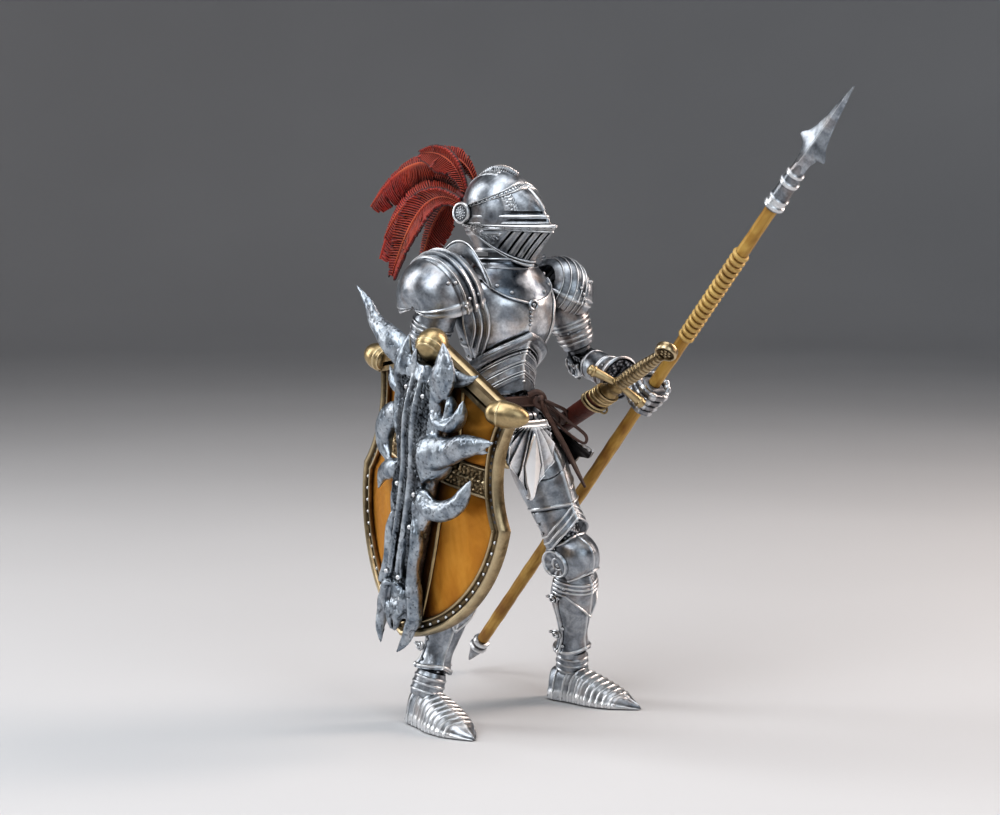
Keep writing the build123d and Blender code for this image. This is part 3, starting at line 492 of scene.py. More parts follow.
def aged_metal(name, dark, light, tint, wash_and_shade_tone, polish, rough=(0.24, 0.46), reach=1.1, pits=0.0,
               metallic=1.0):
    """Painted cast metal: clouded tone, warm patches and rubbed edges; crevices, sunken relief and inner
    faces are darkened, partly a real dark wash and partly painted shade.
    """
    m = Nodes(name)
    cloud = m.noise(260.0, 6.0, 0.6)
    fine = m.noise(1500.0, 3.0)
    tone = m.mix(m.ramp(cloud, [(0.32, 0.0), (0.68, 1.0)]), dark, light)
    patches = m.ramp(m.noise(85.0, 3.0, 1.2), [(0.50, 0.0), (0.70, 0.55)])
    tone = m.mix(patches, tone, tint)
    tone = m.mix(m.ramp(fine, [(0.3, 0.75), (0.7, 1.0)]), (0, 0, 0), tone)
    wear_and_shade = m.wear_and_shade()
    ridges = m.math("MULTIPLY", wear_and_shade, 1.6, True)
    tone = m.mix(ridges, tone, polish)
    # Sunken relief and the insides of plates are darkened towards the wash tone: mostly painted shade,
    # partly the dark wash.
    sunk = m.math("MULTIPLY", wear_and_shade, -1.7, True)
    tone = m.mix(sunk, tone, wash_and_shade_tone)
    # Ambient occlusion darkens the crevices: partly the real dark wash, partly painted shade.
    wash_and_shade = m.ramp(m.crevice(reach), [(0.30, 0.0), (0.86, 1.0)])
    tone = m.mix(wash_and_shade, wash_and_shade_tone, tone)
    gloss = m.math("ADD", m.math("MULTIPLY", cloud, rough[1] - rough[0]), rough[0])
    height = m.math("ADD", m.math("MULTIPLY", m.noise(420.0, 5.0), 0.7), m.math("MULTIPLY", fine, 0.25))
    if pits:
        height = m.math("ADD", height, m.math("MULTIPLY", m.cells(900.0), pits))
    m.bump(height, 0.35, 0.22)
    m.finish(tone, gloss, metallic)


aged_metal("silver", (0.20, 0.22, 0.25), (0.56, 0.60, 0.65), (0.46, 0.37, 0.32), (0.014, 0.014, 0.017),
           (0.96, 0.97, 0.98), (0.26, 0.46))
# A lighter copy of the silver: painted highlight, used on the breastplate, the front tasset and small
# bright studs.
aged_metal("bright_silver_painted_highlight", (0.44, 0.47, 0.52), (0.84, 0.87, 0.91), (0.66, 0.55, 0.48), (0.02, 0.02, 0.024),
           (1.0, 1.0, 1.0), (0.26, 0.40))
aged_metal("steel", (0.09, 0.11, 0.14), (0.34, 0.38, 0.43), (0.30, 0.24, 0.20), (0.012, 0.012, 0.014),
           (0.80, 0.82, 0.85), (0.22, 0.40))
aged_metal("pewter", (0.20, 0.24, 0.29), (0.62, 0.68, 0.74), (0.40, 0.40, 0.42), (0.010, 0.011, 0.013),
           (0.92, 0.95, 0.98), (0.26, 0.50), 1.8, 0.25)
aged_metal("bronze", (0.17, 0.12, 0.065), (0.42, 0.32, 0.19), (0.30, 0.21, 0.12), (0.018, 0.012, 0.007),
           (0.86, 0.72, 0.48), (0.24, 0.40))
aged_metal("brass", (0.24, 0.165, 0.075), (0.56, 0.42, 0.22), (0.38, 0.28, 0.16), (0.02, 0.013, 0.007),
           (0.95, 0.80, 0.52), (0.28, 0.44))
aged_metal("black_iron", (0.010, 0.010, 0.011), (0.05, 0.05, 0.055), (0.04, 0.035, 0.03),
           (0.004, 0.004, 0.004),
           (0.30, 0.31, 0.33), (0.30, 0.55), 1.0, 0.5)


def amber_paint():
    """Burnished gold-orange panel, with painted shade darkening it towards its edges."""
    m = Nodes("amber")
    streak = m.noise(70.0, 6.0, 1.5, (1.0, 1.0, 0.35))
    tone = m.ramp(streak, [(0.25, (0.42, 0.15, 0.016)), (0.5, (0.62, 0.27, 0.035)),
                           (0.80, (0.84, 0.43, 0.08))])
    # Ambient occlusion over 5 mm darkens the panel beside the raised rim and band: painted shade.
    shade = m.ramp(m.crevice(5.0), [(0.45, 0.0), (0.95, 1.0)])
    tone = m.mix(shade, (0.10, 0.035, 0.008), tone)
    weave = m.math("MULTIPLY", m.noise(900.0, 2.0, 0.0, (1.0, 0.3, 1.0)),
                   m.noise(900.0, 2.0, 0.0, (1.0, 1.0, 0.3)))
    m.bump(weave, 0.25, 0.2)
    m.finish(tone, m.math("ADD", m.math("MULTIPLY", streak, 0.2), 0.24), 0.72)


def leather(name, dark, light, edge):
    m = Nodes(name)
    grain = m.cells(1300.0)
    cloud = m.noise(200.0, 5.0)
    tone = m.mix(m.ramp(cloud, [(0.3, 0.0), (0.7, 1.0)]), dark, light)
    # Near black in the crevices, from ambient occlusion: painted shade.
    tone = m.mix(m.ramp(m.crevice(1.0), [(0.4, 0.0), (0.9, 1.0)]), (0.012, 0.006, 0.005), tone)
    tone = m.mix(m.math("MULTIPLY", m.wear_and_shade(), 1.2, True), tone, edge)
    m.bump(m.math("ADD", m.math("MULTIPLY", grain, 0.6), m.noise(700.0, 3.0)), 0.4, 0.25)
    m.finish(tone, m.math("ADD", m.math("MULTIPLY", cloud, 0.2), 0.42))


leather("brown_leather", (0.035, 0.017, 0.013), (0.10, 0.052, 0.040), (0.24, 0.15, 0.12))
leather("red_leather", (0.055, 0.012, 0.008), (0.15, 0.038, 0.024), (0.26, 0.10, 0.07))
amber_paint()


def ochre_paint():
    """Painted wooden shaft: lengthwise grain over ochre."""
    m = Nodes("ochre")
    grain = m.noise(500.0, 6.0, 0.4, (1.0, 0.22, 0.22))
    tone = m.ramp(grain, [(0.28, (0.24, 0.105, 0.018)), (0.5, (0.42, 0.235, 0.05)),
                          (0.72, (0.60, 0.39, 0.11))])
    # Dark in the crevices, from ambient occlusion: painted shade.
    tone = m.mix(m.ramp(m.crevice(0.8), [(0.4, 0.0), (0.9, 1.0)]), (0.07, 0.03, 0.008), tone)
    tone = m.mix(m.math("MULTIPLY", m.wear_and_shade(), 1.5, True), tone, (0.80, 0.60, 0.26))
    m.bump(grain, 0.3, 0.2)
    m.finish(tone, m.math("ADD", m.math("MULTIPLY", grain, 0.25), 0.30), 0.25)


def plume_paint():
    """Deep red barbs, rubbed orange along their raised edges, with painted shade in the troughs between
    them and in the crevices.
    """
    m = Nodes("plume")
    cloud = m.noise(110.0, 4.0, 0.8)
    wear_and_shade = m.wear_and_shade()
    base = m.ramp(cloud, [(0.30, (0.10, 0.002, 0.001)), (0.52, (0.27, 0.006, 0.003)),
                          (0.75, (0.44, 0.016, 0.006))])
    rubbed = m.ramp(m.noise(60.0, 2.0), [(0.35, (0.56, 0.045, 0.016)), (0.65, (0.70, 0.17, 0.05))])
    tone = m.mix(m.math("MULTIPLY", wear_and_shade, 1.5, True), base, rubbed)
    # Troughs between the barbs and the inner faces go near black, and the crevices dark red: painted shade.
    tone = m.mix(m.math("MULTIPLY", wear_and_shade, -4.0, True), tone, (0.014, 0.001, 0.001))
    tone = m.mix(m.ramp(m.crevice(2.5), [(0.30, 0.0), (0.85, 1.0)]), (0.035, 0.002, 0.002), tone)
    m.bump(m.noise(1200.0, 3.0), 0.3, 0.2)
    m.finish(tone, 0.5)
    m.shader.inputs["Sheen Weight"].default_value = 0.15


def mail():
    """Fine rows of rings, pressed in dark steel."""
    m = Nodes("mail")
    rings = m.cells(950.0)
    tone = m.ramp(rings, [(0.15, (0.55, 0.57, 0.60)), (0.45, (0.14, 0.15, 0.17)),
                          (0.7, (0.012, 0.012, 0.014))])
    m.bump(m.math("MULTIPLY", rings, -1.0), 0.9, 0.5)
    m.finish(tone, 0.36, 1.0)


def joint_plastic():
    m = Nodes("joint_grey")
    cloud = m.noise(300.0, 3.0)
    tone = m.mix(m.ramp(cloud, [(0.35, 0.0), (0.65, 1.0)]), (0.10, 0.105, 0.115), (0.22, 0.23, 0.25))
    m.bump(m.noise(1500.0, 2.0), 0.15, 0.15)
    m.finish(tone, m.math("ADD", m.math("MULTIPLY", cloud, 0.2), 0.34), 0.7)


ochre_paint()
plume_paint()
mail()
joint_plastic()


def dress(node, material):
    """Gives a carried-over CAD node its material."""
    obj = frame["nodes"][node]
    obj.data.materials.clear()
    obj.data.materials.append(MATERIALS[material])


# ---------------------------------------------------------------- stage, light and camera
def studio():
    radius, height = 2.6, 3.0
    profile = [(0.0, 0.0)] + [(r, 0.0) for r in (0.3, 0.8, 1.4, 1.8)]
    profile += [(1.8 + 0.8 * math.sin(a), 0.8 - 0.8 * math.cos(a))
                for a in np.linspace(0.15, math.pi / 2, 12)]
    profile.append((radius, height))
    mesh = bpy.data.meshes.new("floor")
    segs = 96
    verts, faces = [(0, 0, 0)], []
    for r, z in profile[1:]:
        verts += [(r * math.cos(2 * math.pi * k / segs), r * math.sin(2 * math.pi * k / segs), z)
                  for k in range(segs)]
    for k in range(segs):
        n = (k + 1) % segs
        faces.append((0, 1 + k, 1 + n))
        for row in range(len(profile) - 2):
            a = 1 + row * segs
            faces.append((a + k, a + segs + k, a + segs + n, a + n))
    mesh.from_pydata(verts, [], faces)
    mesh.polygons.foreach_set("use_smooth", [True] * len(mesh.polygons))
    floor = bpy.data.objects.new("floor", mesh)
    floor.location = (ORIGIN[0] * MM, ORIGIN[1] * MM, -0.0002)
    bpy.context.scene.collection.objects.link(floor)
    m = Nodes("floor_paper")
    m.finish(m.mix(m.ramp(m.noise(3.0, 2.0), [(0.3, 0.0), (0.7, 1.0)]), (0.60, 0.60, 0.61),
                   (0.64, 0.64, 0.65)), 0.75)
    mesh.materials.append(MATERIALS["floor_paper"])


def softbox(name, direction, distance, size, power, colour=(1, 1, 1)):
    """Area light aimed at the figure's chest. direction is (azimuth, elevation) as the camera's is."""
    a, e = math.radians(direction[0]), math.radians(direction[1])
    back = Vector((math.sin(a) * math.cos(e), -math.cos(a) * math.cos(e), math.sin(e)))
    data = bpy.data.lights.new(name, "AREA")
    data.shape, data.size, data.size_y = "RECTANGLE", size[0], size[1]
    data.energy, data.color = power, colour
    light = bpy.data.objects.new(name, data)
    light.location = Vector(ORIGIN * MM) + Vector((0, 0, 0.1)) + back * distance
    light.rotation_euler = back.to_track_quat("Z", "Y").to_euler()
    bpy.context.scene.collection.objects.link(light)


def camera():
    """85 mm lens, 38 degrees to the figure's right and 5 degrees above, aimed at its belt."""
    azimuth, elevation, distance = math.radians(-38), math.radians(5), 714 * MM
    target = Vector((ORIGIN + np.array([-0.07, 0.89, 92.03])) * MM)
    back = Vector((math.sin(azimuth) * math.cos(elevation), -math.cos(azimuth) * math.cos(elevation),
                   math.sin(elevation)))
    data = bpy.data.cameras.new("camera")
    data.lens, data.sensor_width = 85, 36
    data.clip_start, data.clip_end = 0.02, 20
    cam = bpy.data.objects.new("camera", data)
    cam.location = target + back * distance
    cam.rotation_euler = back.to_track_quat("Z", "Y").to_euler()
    bpy.context.scene.collection.objects.link(cam)
    bpy.context.scene.camera = cam


def world():
    w = bpy.data.worlds.new("studio")
    w.use_nodes = True
    w.node_tree.nodes["Background"].inputs["Color"].default_value = (0.55, 0.58, 0.62, 1)
    w.node_tree.nodes["Background"].inputs["Strength"].default_value = 0.22
    bpy.context.scene.world = w
    bpy.context.scene.view_settings.view_transform = "Standard"
    bpy.context.scene.view_settings.look = "Medium High Contrast"


camera()
studio()
world()
#        name, direction, distance, size, power, colour
softbox("key", (-75, 42), 0.9, (0.5, 0.7), 4.4, (0.94, 0.97, 1.0))
softbox("front", (-10, 25), 1.0, (0.35, 0.6), 1.5, (0.86, 0.94, 1.0))
softbox("right_rim", (65, 30), 0.9, (0.25, 0.8), 4.8, (1.0, 0.84, 0.74))
softbox("left_rim", (-140, 25), 0.9, (0.25, 0.8), 3.2)
softbox("top", (-30, 86), 0.9, (0.6, 0.6), 2.6)


# ---------------------------------------------------------------- head
HEAD = frame_at(joint_at("neck_turn"), (0, 0, 1), joint_axis("head_nod"))
VISOR_PIVOT = (6.0, 12.2)                    # y and z in the head's frame
PLUME_SOCKET = shifted(0, 11.4, 14.6) @ turned((1, 0, 0), -60)


def grid(nu, nv, u0=0.0, u1=1.0, v0=0.0, v1=1.0, open_u=False):
    u = np.linspace(u0, u1, nu, endpoint=not open_u)
    v = np.linspace(v0, v1, nv)
    return np.meshgrid(u, v, indexing="ij")


def helmet():
    p = Piece("helmet_skull", "head", "silver", "silver_armour", ["helmet"], HEAD)
    s = np.array([0, 0.12, 0.25, 0.42, 0.58, 0.72, 0.84, 0.93, 1.0])
    height = curve(s, [0.6, 3.6, 7.6, 12.8, 17.2, 20.8, 23.2, 24.5, 25.0])
    half_w = curve(s, [7.0, 7.9, 9.5, 9.9, 9.3, 7.7, 5.4, 3.0, 0.05])
    half_d = curve(s, [7.4, 9.0, 11.1, 11.7, 11.2, 9.6, 7.0, 3.9, 0.07])
    a, v = grid(170, 100, 0, 2 * np.pi, open_u=True)
    x, y, z = half_w(v) * np.sin(a), 1.0 - half_d(v) * np.cos(a), height(v)
    relief = 0.35 * bead(v, 0.015, 0.03) + 0.28 * bead(v, 0.20, 0.018) + 0.28 * bead(v, 0.245, 0.018)
    across = np.abs(x)
    back = y > -2
    relief = relief + 0.3 * back * (bead(across, 3.1, 0.45) + bead(across, 4.4, 0.45)) * (z > 9)
    relief += 0.22 * back * bead(across, 3.75, 0.35) * (np.sin(z * 6.0 + y * 4.0) > 0) * (z > 9)
    p.plate(np.stack([x, y, z], -1), 0.8, (0, 1, 12), relief, wrap=True)
    # comb: a knurled ridge over the middle line
    t = np.linspace(-0.62, 2.2, 260)
    ridge = np.stack([np.zeros_like(t), 1.0 + 12.2 * np.sin(t) * 0.98, 12.6 + 12.6 * np.cos(t)], -1)
    p.tube(ridge, 1.0 + 0.16 * np.sin(t * 95), 10, (1, 0, 0), 1.25, wear_and_shade=0.12 * np.sin(t * 95) + 0.1)
    for sign in (-1, 1):
        row = ridge[6:-30:7] + np.array([sign * 1.35, 0, -0.35])
        p.studs(row, [(sign * 0.8, 0, 0.6)] * len(row), 0.36, 0.34)
    # plume holder
    holder = PLUME_SOCKET
    p.lathe([(1.9, -1.0), (2.2, -0.4), (2.2, 2.2), (2.5, 2.4), (2.5, 3.0), (2.1, 3.1)], holder, 32)
    p.make()

    disc = Piece("visor_pivot_discs", "head", "silver", "silver_armour", ["visor_pivots"], HEAD)
    for sign in (-1, 1):
        place = shifted(sign * 11.2, *VISOR_PIVOT) @ turned((0, 1, 0), sign * 90)
        # The negative wear values mark the dished step inside the rim: painted shade there.
        disc.lathe([(2.2, -1.5), (2.2, -0.5), (3.1, -0.4), (3.35, 0.0), (3.35, 0.5), (3.1, 0.85),
                    (2.65, 0.9),
                    (2.4, 0.6), (2.3, 0.45), (0.6, 0.6), (0.05, 0.62)], place, 40,
                   wear_and_shade=[0, 0, 0, 0.2, 0.3, 0.4, 0.3, -0.4, -0.2, 0.1, 0.1])
        for ring_at, count in ((1.7, 12), (1.05, 8), (0.4, 3)):
            for k in range(count):
                angle = 2 * math.pi * k / count
                at = place @ np.array([ring_at * math.cos(angle), ring_at * math.sin(angle), 0.5, 1])
                disc.stud(at[:3], (sign, 0, 0), 0.3, 0.28)
    disc.make()


def visor_skin(s, t):
    """Brow half of the visor: s across from -1 to 1, t from its lower edge to its rim on the skull."""
    side = np.abs(s)
    low, high = 8.9, 21.4 - 7.4 * side**2.2
    z = low + (high - low) * t
    depth = curve([8.9, 10.4, 11.2, 12.6, 15.5, 18.5, 21.5], [24.4, 24.0, 23.2, 22.4, 20.6, 17.8, 13.2])(z)
    width = curve([8.9, 12.0, 15.5, 18.5, 21.5], [11.1, 11.2, 11.2, 10.9, 9.6])(z)
    power = curve([8.9, 12.6, 21.5], [1.45, 1.8, 3.0])(z)
    back_shift = 0.10 * np.clip(z - 14.0, 0, 8)
    return np.stack([width * s, VISOR_PIVOT[0] - 0.6 - depth * (1 - side**power) + back_shift, z], -1)


def visor():
    p = Piece("visor_brow", "visor", "silver", "silver_armour", ["visor"], HEAD)
    u, t = grid(260, 150)
    s = np.sin((u - 0.5) * np.pi * 0.985)
    q = visor_skin(s, t)
    z, side = q[..., 2], np.abs(s)
    relief = 0.45 * bead(t, 0.985, 0.022) + 0.45 * bead(t, 0.86, 0.02)
    relief += 0.30 * bead(t, 0.925, 0.04) * (np.sin(u * 260) > -0.1)
    front = step(0.86 - side, 0, 0.06)
    slot = front * (1 - step(0.085 - side, 0, 0.05))
    upper = (1 - step(np.abs(z - 12.35), 0.34, 0.10)) * slot
    lower = (1 - step(np.abs(z - 10.15), 0.28, 0.10)) * slot * (1 - step(side, 0.74, 0.08))
    # The slots' sunken relief is also the wear value, so they come out dark: painted shade.
    relief = np.where(z < 14, 0, relief) - 0.85 * upper - 0.85 * lower
    relief += 0.42 * bead(z, 11.2, 0.45) * step(0.92 - side, 0, 0.08) + 0.30 * bead(z, 9.15, 0.3)
    band_at = 0.55 + 0.012 * (z - 13)
    from_band = np.abs(np.abs(s) - band_at)
    high_part = (z > 12.9) * (t < 0.87)
    relief += (1 - step(from_band, 0.045, 0.015)) * high_part * (0.18 + 0.25 * wobble(q, 0.7))
    relief += 0.26 * bead(from_band, 0.062, 0.014) * high_part
    relief += 0.40 * hill(s, 0.035) * high_part
    p.plate(q, 0.75, (0, 2, 12), relief)
    p.make()

    g = Piece("visor_grille", "visor", "silver", "silver_armour", ["face_grille"], HEAD)
    u, t = grid(300, 120)
    s = np.sin((u - 0.5) * np.pi * 0.97)
    side = np.abs(s)
    top = np.stack([11.4 * s, VISOR_PIVOT[0] - 0.6 - 26.8 * (1 - side**1.32), 8.75 + 0 * s], -1)
    low_z = -3.7 + 11.0 * side**2.6
    low = np.stack([9.6 * s * (0.55 + 0.45 * side), 3.4 - 15.2 * (1 - side**1.7), low_z], -1)
    q = low + (top - low) * t[..., None]
    q[..., 0] += np.sin(np.pi * t) * 0.9 * s
    relief = 0.55 * bead(t, 0.975, 0.028) + 0.5 * bead(t, 0.84, 0.022) + 0.15 * (np.abs(t - 0.907) < 0.06)
    relief += 0.5 * bead(t, 0.03, 0.04) + 0.4 * bead(t, 0.115, 0.025)
    open_part = step(t, 0.155, 0.03) * (1 - step(t, 0.80, 0.03)) * (1 - step(side, 0.80, 0.02))
    raked = side - 0.24 * (0.80 - t)
    # The slits' sunken relief is also the wear value, so they come out dark: painted shade.
    for at in (0.045, 0.165, 0.285, 0.405, 0.525):
        relief -= 0.75 * (1 - step(np.abs(raked - at), 0.008, 0.010)) * open_part
        relief += 0.16 * bead(raked, at + 0.030, 0.016) * open_part
        relief += 0.16 * bead(raked, at - 0.030, 0.016) * open_part
    rough = step(raked, 0.60, 0.02) * (t < 0.82) * (t > 0.14) * (side < 0.97)
    relief += rough * 0.30 * np.abs(wobble(q, 1.1, 3.0))
    g.plate(q, 0.75, (0, 0, 6), relief)
    count = 30
    for k in range(count):
        i = int((k + 0.5) / count * 299)
        at = q[i, int(0.907 * 119)]
        n = np.array([at[0] * 0.9, at[1] - 3.0, 0.0])
        g.stud(at + unit(n) * 0.1, n, 0.34, 0.36)
    g.make()


# ---------------------------------------------------------------- plume
def bezier(root, bend, tip, count):
    t = np.linspace(0, 1, count)[:, None]
    return (1 - t) ** 2 * np.array(root) + 2 * t * (1 - t) * np.array(bend) + t**2 * np.array(tip)


def feather(p, root, bend, tip, outer, inner, curl, seed, lean=0.0):
    """Ostrich feather: barbs slanting from a raised spine, frayed edges, tip curled over."""
    count, wide, thick, notch_run = 230, 44, 0.9, 5
    spine = bezier(root, bend, tip, count)
    tangent = np.gradient(spine, axis=0)
    tangent /= np.linalg.norm(tangent, axis=1, keepdims=True)
    # outwards from the arc
    out = np.stack([np.zeros(count), -tangent[:, 2], tangent[:, 1]], -1)
    out /= np.linalg.norm(out, axis=1, keepdims=True)
    out *= np.sign((out * (spine - spine.mean(0))).sum(1).mean()) or 1
    length = np.concatenate([[0], np.cumsum(np.linalg.norm(np.diff(spine, axis=0), axis=1))])
    t = np.linspace(0, 1, count)
    swell = np.clip(np.sin(np.pi * np.clip(0.10 + 0.86 * t, 0, 1)), 0.06, 1) ** 0.65
    swell = swell * (0.45 + 0.55 * step(t, 0.3, 0.5))
    local = np.random.default_rng(seed)
    w = np.linspace(-1, 1, wide)
    fray = np.ones((count, 2))
    knots = np.arange(0, count, notch_run)
    for edge in (0, 1):
        fray[:, edge] = np.interp(np.arange(count), knots, local.uniform(0.90, 1.03, len(knots)))
        for _ in range(6):
            at = local.integers(int(count * 0.25), count - 6)
            fray[at:at + 3, edge] *= local.uniform(0.55, 0.8)
    inner_half, outer_half = inner * swell * fray[:, 0], outer * swell * fray[:, 1]
    half = np.where(w[None, :] < 0, inner_half[:, None], outer_half[:, None])
    reach = half * w[None, :]
    x_curl = curl * (np.abs(w[None, :]) ** 2.2) * half * 0.55
    x_curl = x_curl + lean * w[None, :] * half
    # barbs sweep towards the tip
    slant = np.abs(w[None, :]) * half * 0.75
    index = np.interp(length[:, None] + slant * (1 - 0.6 * t[:, None]), length, np.arange(count))
    lo = np.floor(index).astype(int)
    hi = np.minimum(lo + 1, count - 1)
    f = (index - lo)[..., None]
    base = spine[lo] * (1 - f) + spine[hi] * f
    direction = out[lo] * (1 - f) + out[hi] * f
    q = base + direction * reach[..., None]
    q[..., 0] += x_curl
    phase = length[:, None] * 3.7 + 0.9 * wobble(q, 5.0, seed) + 0.5 * np.sign(w)[None, :]
    barbs = 0.58 * np.abs(np.sin(phase)) ** 0.8 - 0.34
    barbs = barbs * np.clip(np.abs(w) * 5, 0, 1)[None, :]
    barbs = barbs + 0.55 * hill(w, 0.07)[None, :]
    p.plate(q - np.array([thick / 2, 0, 0]), thick, q.mean((0, 1)) + np.array([40.0, 0, 0]), barbs)


def plume():
    p = Piece("plume_feathers", "plume", "plume", "red_plume", ["plume"], HEAD, sharp=60)
    feather(p, (1.0, 13.5, 17.5), (0.5, 33, 39.5), (0.5, 55.5, 14.0), 2.6, 10.5, 1.0, 11, 0.15)
    feather(p, (3.0, 14, 16), (3.5, 41, 33), (3.5, 54.5, -2.5), 3.6, 9.5, 0.8, 12, 0.2)
    feather(p, (-3.0, 14, 15), (-3.6, 30, 24), (-3.8, 42.0, -7.5), 5.0, 6.0, -0.9, 13, 0.1)
    feather(p, (4.2, 13, 18), (4.6, 18, 35), (4.6, 40.5, 28.0), 3.0, 5.5, 0.8, 14)
    feather(p, (-1.6, 13, 18), (-1.4, 17, 32), (-0.4, 33.0, 30.5), 2.6, 4.6, -0.8, 15, 0.2)
    feather(p, (0.6, 13.5, 16), (0.6, 27, 20), (1.6, 35.0, -5.0), 4.6, 6.6, 0.6, 16)
    feather(p, (-0.4, 13.5, 16), (-0.6, 35, 27), (-1.0, 48.0, 4.0), 3.6, 6.0, 0.8, 17, 0.1)
    peg = PLUME_SOCKET
    p.lathe([(1.1, -1.4), (1.3, -1.2), (1.3, 3.1), (2.1, 3.3), (2.3, 3.9), (2.2, 4.8), (1.5, 5.4),
             (1.2, 7.5)], peg, 24)
    p.make()


# ---------------------------------------------------------------- torso
TORSO_Z = [98.0, 101.4, 106.0, 111.5, 115.0, 119.0, 123.0, 128.0, 132.0, 135.0]
TORSO_A = curve(TORSO_Z, [9.6, 10.2, 10.8, 13.4, 15.0, 15.9, 16.0, 15.4, 12.9, 10.2])
TORSO_B = curve(TORSO_Z, [7.4, 8.0, 8.3, 10.2, 11.8, 12.7, 12.8, 11.8, 10.4, 9.0])
TORSO_Y = curve(TORSO_Z, [0, 0, 0, -0.4, -0.8, -0.8, -0.8, -0.4, 0.2, 0.4])


def torso_at(angle, z, out=0.0):
    """Point of the trunk at an angle from straight ahead, + to the figure's left, and a height."""
    return np.stack([(TORSO_A(z) + out) * np.sin(angle), TORSO_Y(z) - (TORSO_B(z) + out) * np.cos(angle),
                     z], -1)


def arch(angle):
    """Height of the breastplate's lower edge: highest in front."""
    side = np.clip(np.abs(angle) / math.radians(80), 0, 1)
    return 114.6 - 8.6 * side**0.95


def yoke(angle):
    """Height of the scalloped edge of the dark upper plate, with a cusp in front."""
    side = np.clip(np.abs(angle) / math.radians(58), 0, 1)
    return 123.2 + 7.8 * side**0.8 - 1.6 * np.sin(np.pi * side)


def breastplate():
    inside = (0, 0, 118)
    # The breastplate takes the lighter copy of the silver: painted highlight.
    p = Piece("breastplate_painted_highlight", "torso", "bright_silver_painted_highlight", "silver_armour", ["breastplate"])
    u, v = grid(220, 90, -math.radians(88), math.radians(88))
    low, high = arch(u), np.minimum(yoke(u) + 1.2, 133)
    z = low + (high - low) * v
    relief = 0.35 * hill(u, 0.05) * (1 - v) + 0.35 * bead(np.abs(u), math.radians(86.4), 0.02)
    p.plate(torso_at(u, z), 0.9, inside, relief)
    # rolled flange along its lower edge
    a = np.linspace(-math.radians(86), math.radians(86), 150)
    edge = Piece("breastplate_flange", "torso", "silver", "silver_armour")
    _, band_v = grid(len(a), 30)
    drop = arch(a)[:, None] + 1.0 - 3.4 * band_v
    swell = 0.9 + 1.9 * np.sin(np.pi * np.clip(band_v * 1.05, 0, 1)) ** 0.8
    q = torso_at(np.broadcast_to(a[:, None], drop.shape), drop, swell)
    edge.plate(q, 0.8, inside, 0.25 * bead(band_v, 0.9, 0.09) + 0.25 * bead(band_v, 0.12, 0.06)
               + 0.05 * wobble(q, 1.2))
    edge.make()
    # three ribs at each arm opening
    for side in (-1, 1):
        for k in range(3):
            angle = side * math.radians(62 + 9 * k)
            zs = np.linspace(108.5 + 1.2 * k, 128 - 1.5 * k, 60)
            bow = side * 0.22 * np.sin(np.linspace(0, np.pi, 60))
            p.tube(torso_at(angle - bow, zs, 0.25), 0.62, 10, (1, 0, 0), wear_and_shade=0.25)
    p.make()

    d = Piece("breastplate_yoke", "torso", "steel", "dark_steel")
    u, v = grid(220, 70, -math.radians(80), math.radians(80))
    low = yoke(u)
    z = low + (134.6 - low) * v
    relief = 0.45 * bead(v, 0.02, 0.05) + 0.25 * bead(v, 0.975, 0.03)
    d.plate(torso_at(u, z, 0.95), 0.9, inside, relief)
    for degrees in (-55, -38, -22, 22, 38, 55):
        a = math.radians(degrees)
        at = torso_at(np.array(a), np.array(yoke(a) + 2.0), 1.0)
        d.stud(at, (at[0], at[1], 4.0), 0.62, 0.5)
    # ring boss with hanging studs
    centre = torso_at(np.array(0.0), np.array(123.6), 1.5)
    ringed = np.array([centre + (1.35 * math.cos(t), -0.1, 1.35 * math.sin(t)) for t in
                       turn_angles(28)])
    d.tube(ringed, 0.42, 8, (0, 1, 0), ring=True, wear_and_shade=0.3)
    d.stud(centre, (0, -1, 0), 0.75, 0.8)
    for k in range(4):
        at = torso_at(np.array(0.0), np.array(121.4 - 1.25 * k), 0.4)
        d.stud(at, (0, -1, 0), 0.52, 0.6)
    d.make()

    c = Piece("waist_lames", "torso", "silver", "silver_armour")
    tops = (114.4, 110.4, 107.2, 104.2, 101.6)
    for k, top in enumerate(tops):
        u, v = grid(150, 26, -math.radians(84), math.radians(84))
        side = np.abs(u) / math.radians(84)
        z = top - 7.4 * side**1.1 - 3.5 * v
        z = np.maximum(z, WAIST_HEIGHT - 1.0)
        relief = 0.35 * bead(v, 0.12, 0.09) + 0.30 * bead(v, 0.36, 0.07) + 0.5 * hill(u, 0.05)
        relief += 0.25 * bead(v, 0.96, 0.06)
        q = torso_at(u, z, 0.15 + 0.45 * v + 0.12 * k)
        q[..., 1] -= 1.3 * hill(u, 0.22)
        c.plate(q, 0.7, inside, relief)
    for dx, dz in ((-1.1, 0), (1.1, 0), (0, 1.2)):
        at = torso_at(np.array(dx / 9), np.array(109.4 + dz), 1.5)
        c.stud(at, (0, -1, 0), 0.5, 0.5)
    c.make()


